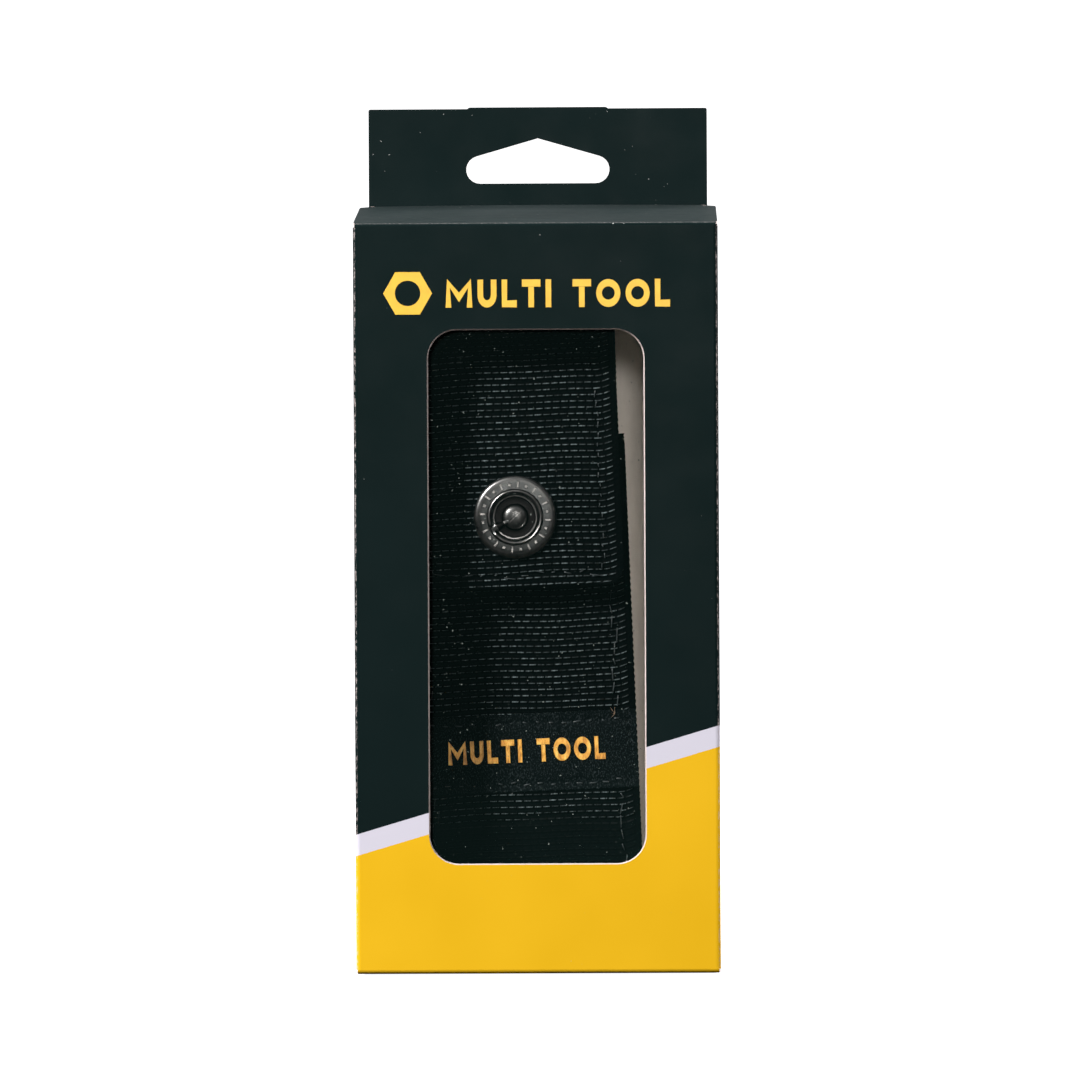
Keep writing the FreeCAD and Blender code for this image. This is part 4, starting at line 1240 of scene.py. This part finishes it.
def snap_cap():
    """The snap's cap: a bevelled rim, a flat ring with a wreath of marks, a groove and a dished middle."""
    radius = (cap_hi[0] - cap_lo[0]) / 2
    centre_u, centre_w = (cap_lo[0] + cap_hi[0]) / 2, (cap_lo[2] + cap_hi[2]) / 2
    height = FLAP_FACE - cap_lo[1]
    profile = [
        (0.96, 0.0), (1.0, 0.10), (1.0, 0.30), (0.985, 0.46), (0.95, 0.60), (0.90, 0.68), (0.80, 0.70),
        (0.69, 0.72), (0.665, 0.86), (0.65, 0.96), (0.63, 1.0), (0.61, 0.96), (0.60, 0.80), (0.585, 0.42),
        (0.565, 0.36), (0.55, 0.50), (0.53, 0.62), (0.505, 0.60), (0.49, 0.40), (0.475, 0.10), (0.40, 0.06),
        (0.33, 0.10), (0.305, 0.30), (0.28, 0.55), (0.22, 0.76), (0.12, 0.86), (0.02, 0.88)]
    sides = 128
    vertices = []
    for share, rise in profile:
        for k in range(sides):
            turn = TAU * k / sides
            spoke = math.exp(-((math.degrees(turn) - 207) / 10) ** 6) * (0.25 < share < 0.66)
            dent = 0.035 * math.sin(3 * turn + 1) * (share > 0.6)
            lift = height * (rise * (1 - spoke) + (1.02 - 0.45 * share) * spoke + dent * 0.2)
            vertices.append((centre_u + radius * share * math.cos(turn), FLAP_FACE - lift,
                             centre_w + radius * share * math.sin(turn)))
    faces = lattice_faces(len(profile), sides, 0, loop=True)
    faces.append(tuple(range(sides)))
    last = (len(profile) - 1) * sides
    faces.append(tuple(last + k for k in range(sides))[::-1])
    # the groove gets the darker metal, as painted shade
    slots = [int(0.31 < profile[k // sides][0] < 0.505) for k in range(len(faces) - 2)] + [0, 0]
    piece = new_object(
        "snap_cap_face", in_pouch(np.array(vertices)), faces, [GUNMETAL, RECESS_SHADE], slots, sharp=40)

    vertices, faces = [], []
    count = 24
    for k in range(count):
        turn = TAU * (k + 0.5) / count
        inner_r, outer_r, width = (0.70, 0.89, 0.050) if k % 2 else (0.75, 0.83, 0.085)
        middle = (inner_r + outer_r) / 2
        start = len(vertices)
        for level, shrink in ((0.66, 1.0), (0.80, 0.70)):
            for r, side in ((inner_r, -1), (outer_r, -1), (outer_r, 1), (inner_r, 1)):
                out = radius * (middle + (r - middle) * shrink)
                a = turn + side * width * shrink / 2 / middle
                vertices.append((
                    centre_u + out * math.cos(a), FLAP_FACE - height * level, centre_w + out * math.sin(a)))
        faces.append(tuple(start + 4 + i for i in range(4)))
        for i in range(4):
            j = (i + 1) % 4
            faces.append((start + i, start + j, start + 4 + j, start + 4 + i))
        faces.append(tuple(start + 3 - i for i in range(4)))
    marks = new_object("snap_cap_marks", in_pouch(np.array(vertices)), faces, [GUNMETAL], sharp=30)
    for obj in (piece, marks):
        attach(obj, "pouch_flap")
    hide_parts("snap_cap")


def tuft(name, spot, strands, reach, material):
    """Loose fibre ends: thin tapering tubes that curl away from a (u, y, w) spot."""
    vertices, faces = [], []
    for _ in range(strands):
        heading = np.array([random.uniform(-1, 1), random.uniform(-0.9, -0.1), random.uniform(-1, 1)])
        heading /= np.linalg.norm(heading)
        curl = np.array([random.uniform(-1, 1), 0, random.uniform(-1, 1)]) * reach * 0.5
        long = reach * random.uniform(0.5, 1.2)
        side = np.cross(heading, (0.3, 0.5, 0.81))
        side /= np.linalg.norm(side)
        other = np.cross(heading, side)
        start = len(vertices)
        for k in range(6):
            s = k / 5
            point = np.array(spot) + heading * long * s + curl * s * s
            vertices += ring_round(point, 0.045 * MM * (1 - 0.7 * s), side, other, 4)
        faces += lattice_faces(6, 4, start, loop=True)
    piece = new_object(name, in_pouch(np.array(vertices)), faces, [material], sharp=80)
    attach(piece, "pouch")


# ------------------------------------------------------------------ making

rear_layer, front_layer = hang_tab()
sleeve = carton_sleeve()
for piece in (rear_layer, front_layer, sleeve):
    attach(piece, "carton")
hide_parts("hang_tab_doubler")
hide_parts("carton_front_panel", "carton_left_panel", "carton_right_panel", "carton_back_panel")
for side in (1, -1):
    lid_and_tongue(side)
for end in ("top", "bottom"):
    for hand in (-1, 1):
        dust_flap(end, hand)
front_print()
window_film()
pocket()
flap()
back()
belt_loop()
gusset(-1)
gusset(1)
seam_threads()
flap_threads()
label()
snap_cap()
tuft("label_tuft", (SIDE_SEAM - 0.6 * MM, label_lo[1], label_hi[2] - 0.8 * MM), 6, 0.9 * MM, BEIGE_THREAD)

FINISH = {
    "carton_glue_flap": PLAIN,
    "snap_stud": PIN_STEEL, "snap_socket": GUNMETAL, "snap_eyelet": GUNMETAL,
}
BLADES = ("knife_blade", "sheepsfoot_blade", "saw_blade", "file_blade")
for node, obj in NODES.items():
    if node in FINISH:
        finish = FINISH[node]
    elif node in BLADES:
        finish = BLADE_STEEL
    elif node.endswith("_pin") or node == "plier_rivet":
        finish = PIN_STEEL
    else:
        finish = HANDLE_STEEL
    obj.data.materials.clear()
    obj.data.materials.append(finish)


# ------------------------------------------------------------------ stage, lights and camera

def floor():
    """A pale round floor that curves up into a wall on every side, and casts no light on the object."""
    s = Shader("studio_white", (0.93, 0.93, 0.93), 0.9)
    s.drive("Base Color", s.ramp(s.noise(3, 2), [(0.0, 0.925), (1.0, 0.935)]))
    s.surface.inputs["Emission Color"].default_value = (1, 1, 1, 1)
    s.surface.inputs["Emission Strength"].default_value = 1.0
    low = -0.8 * MM         # clears the bottom lid where it opens flat on the floor
    line = [(0.02, low), (1.0, low)]
    line += arc_list((2.4, 0.8 + low), 0.8, 270, 360, 16) + [(3.2, 3.6)]
    sides = 72
    vertices = [(r * math.cos(TAU * k / sides), r * math.sin(TAU * k / sides), z)
                for r, z in line for k in range(sides)]
    faces = lattice_faces(len(line), sides, 0, loop=True) + [tuple(range(sides))]
    stage = new_object("studio_floor", vertices, faces, [s.material])
    stage.visible_diffuse = False
    stage.visible_glossy = False


def area_light(name, place, aim, size, watts, colour=(1, 1, 1)):
    """A rectangular soft box at a place, turned to its aim."""
    data = bpy.data.lights.new(name, "AREA")
    data.shape = "RECTANGLE"
    data.size, data.size_y = size
    data.energy = watts
    data.color = colour
    obj = bpy.data.objects.new(name, data)
    bpy.context.scene.collection.objects.link(obj)
    obj.location = place
    obj.rotation_euler = (Vector(aim) - Vector(place)).to_track_quat("-Z", "Y").to_euler()
    return obj


def surroundings():
    """Soft grey room, brighter overhead, and soft boxes; the front one lights the carton, snap and words."""
    lit_from_front = bpy.data.collections.new("lit_from_front")
    for name in ("carton_sleeve", "hang_tab_rear_layer", "hang_tab_front_layer", "front_symbol",
                 "front_words", "top_lid_board", "snap_cap_face", "snap_cap_marks", "label_words"):
        lit_from_front.objects.link(bpy.data.objects[name])
    world = bpy.data.worlds.new("studio")
    bpy.context.scene.world = world
    world.use_nodes = True
    tree = world.node_tree
    where = tree.nodes.new("ShaderNodeTexCoord").outputs["Generated"]
    split = tree.nodes.new("ShaderNodeSeparateXYZ")
    tree.links.new(where, split.inputs[0])
    ramp = tree.nodes.new("ShaderNodeValToRGB")
    tree.links.new(split.outputs["Z"], ramp.inputs["Fac"])
    shades = ((0.10, (0.02, 0.02, 0.02, 1)), (0.80, (0.35, 0.35, 0.36, 1)))
    for element, (position, colour) in zip(ramp.color_ramp.elements, shades):
        element.position = position
        element.color = colour
    tree.links.new(ramp.outputs["Color"], tree.nodes["Background"].inputs["Color"])
    aim = (0, -0.02, 0.09)
    area_light("key", (-0.84, -0.74, 0.86), aim, (0.30, 0.30), 27.8)
    area_light("fill", (1.0, -0.9, 0.45), aim, (0.6, 0.6), 0.12, (1.0, 0.98, 0.96))
    front = area_light("front", (0.08, -1.6, 0.37), aim, (0.2, 0.2), 6.0, (1.0, 0.98, 0.95))
    front.light_linking.receiver_collection = lit_from_front
    area_light("top", (0.0, 0.25, 1.1), aim, (0.9, 0.6), 14.0)
    area_light("back", (1.0, 1.15, 0.8), aim, (0.6, 0.5), 14.0)
    area_light("right_strip", (0.75, 0.05, 0.2), aim, (0.3, 0.7), 4.0)
    area_light("left_strip", (-0.75, 0.05, 0.2), aim, (0.3, 0.7), 2.0)


def camera():
    """The camera, level with the middle of the front and a touch to the right of it."""
    data = bpy.data.cameras.new("main_camera")
    data.lens = 250.8
    data.sensor_width = 36.0
    data.clip_end = 50
    obj = bpy.data.objects.new("main_camera", data)
    bpy.context.scene.collection.objects.link(obj)
    aim = Vector((0.67 * MM, FRONT, 83.1 * MM))
    distance, turn, roll = 1.442, math.radians(0.86), math.radians(-0.27)
    place = aim + distance * Vector((math.sin(turn), -math.cos(turn), 0))
    facing = (aim - place).to_track_quat("-Z", "Y").to_matrix().to_4x4()
    obj.matrix_world = Matrix.Translation(place) @ facing @ Matrix.Rotation(roll, 4, "Z")
    bpy.context.scene.camera = obj


floor()
surroundings()
camera()
bpy.context.scene.view_settings.view_transform = "Standard"
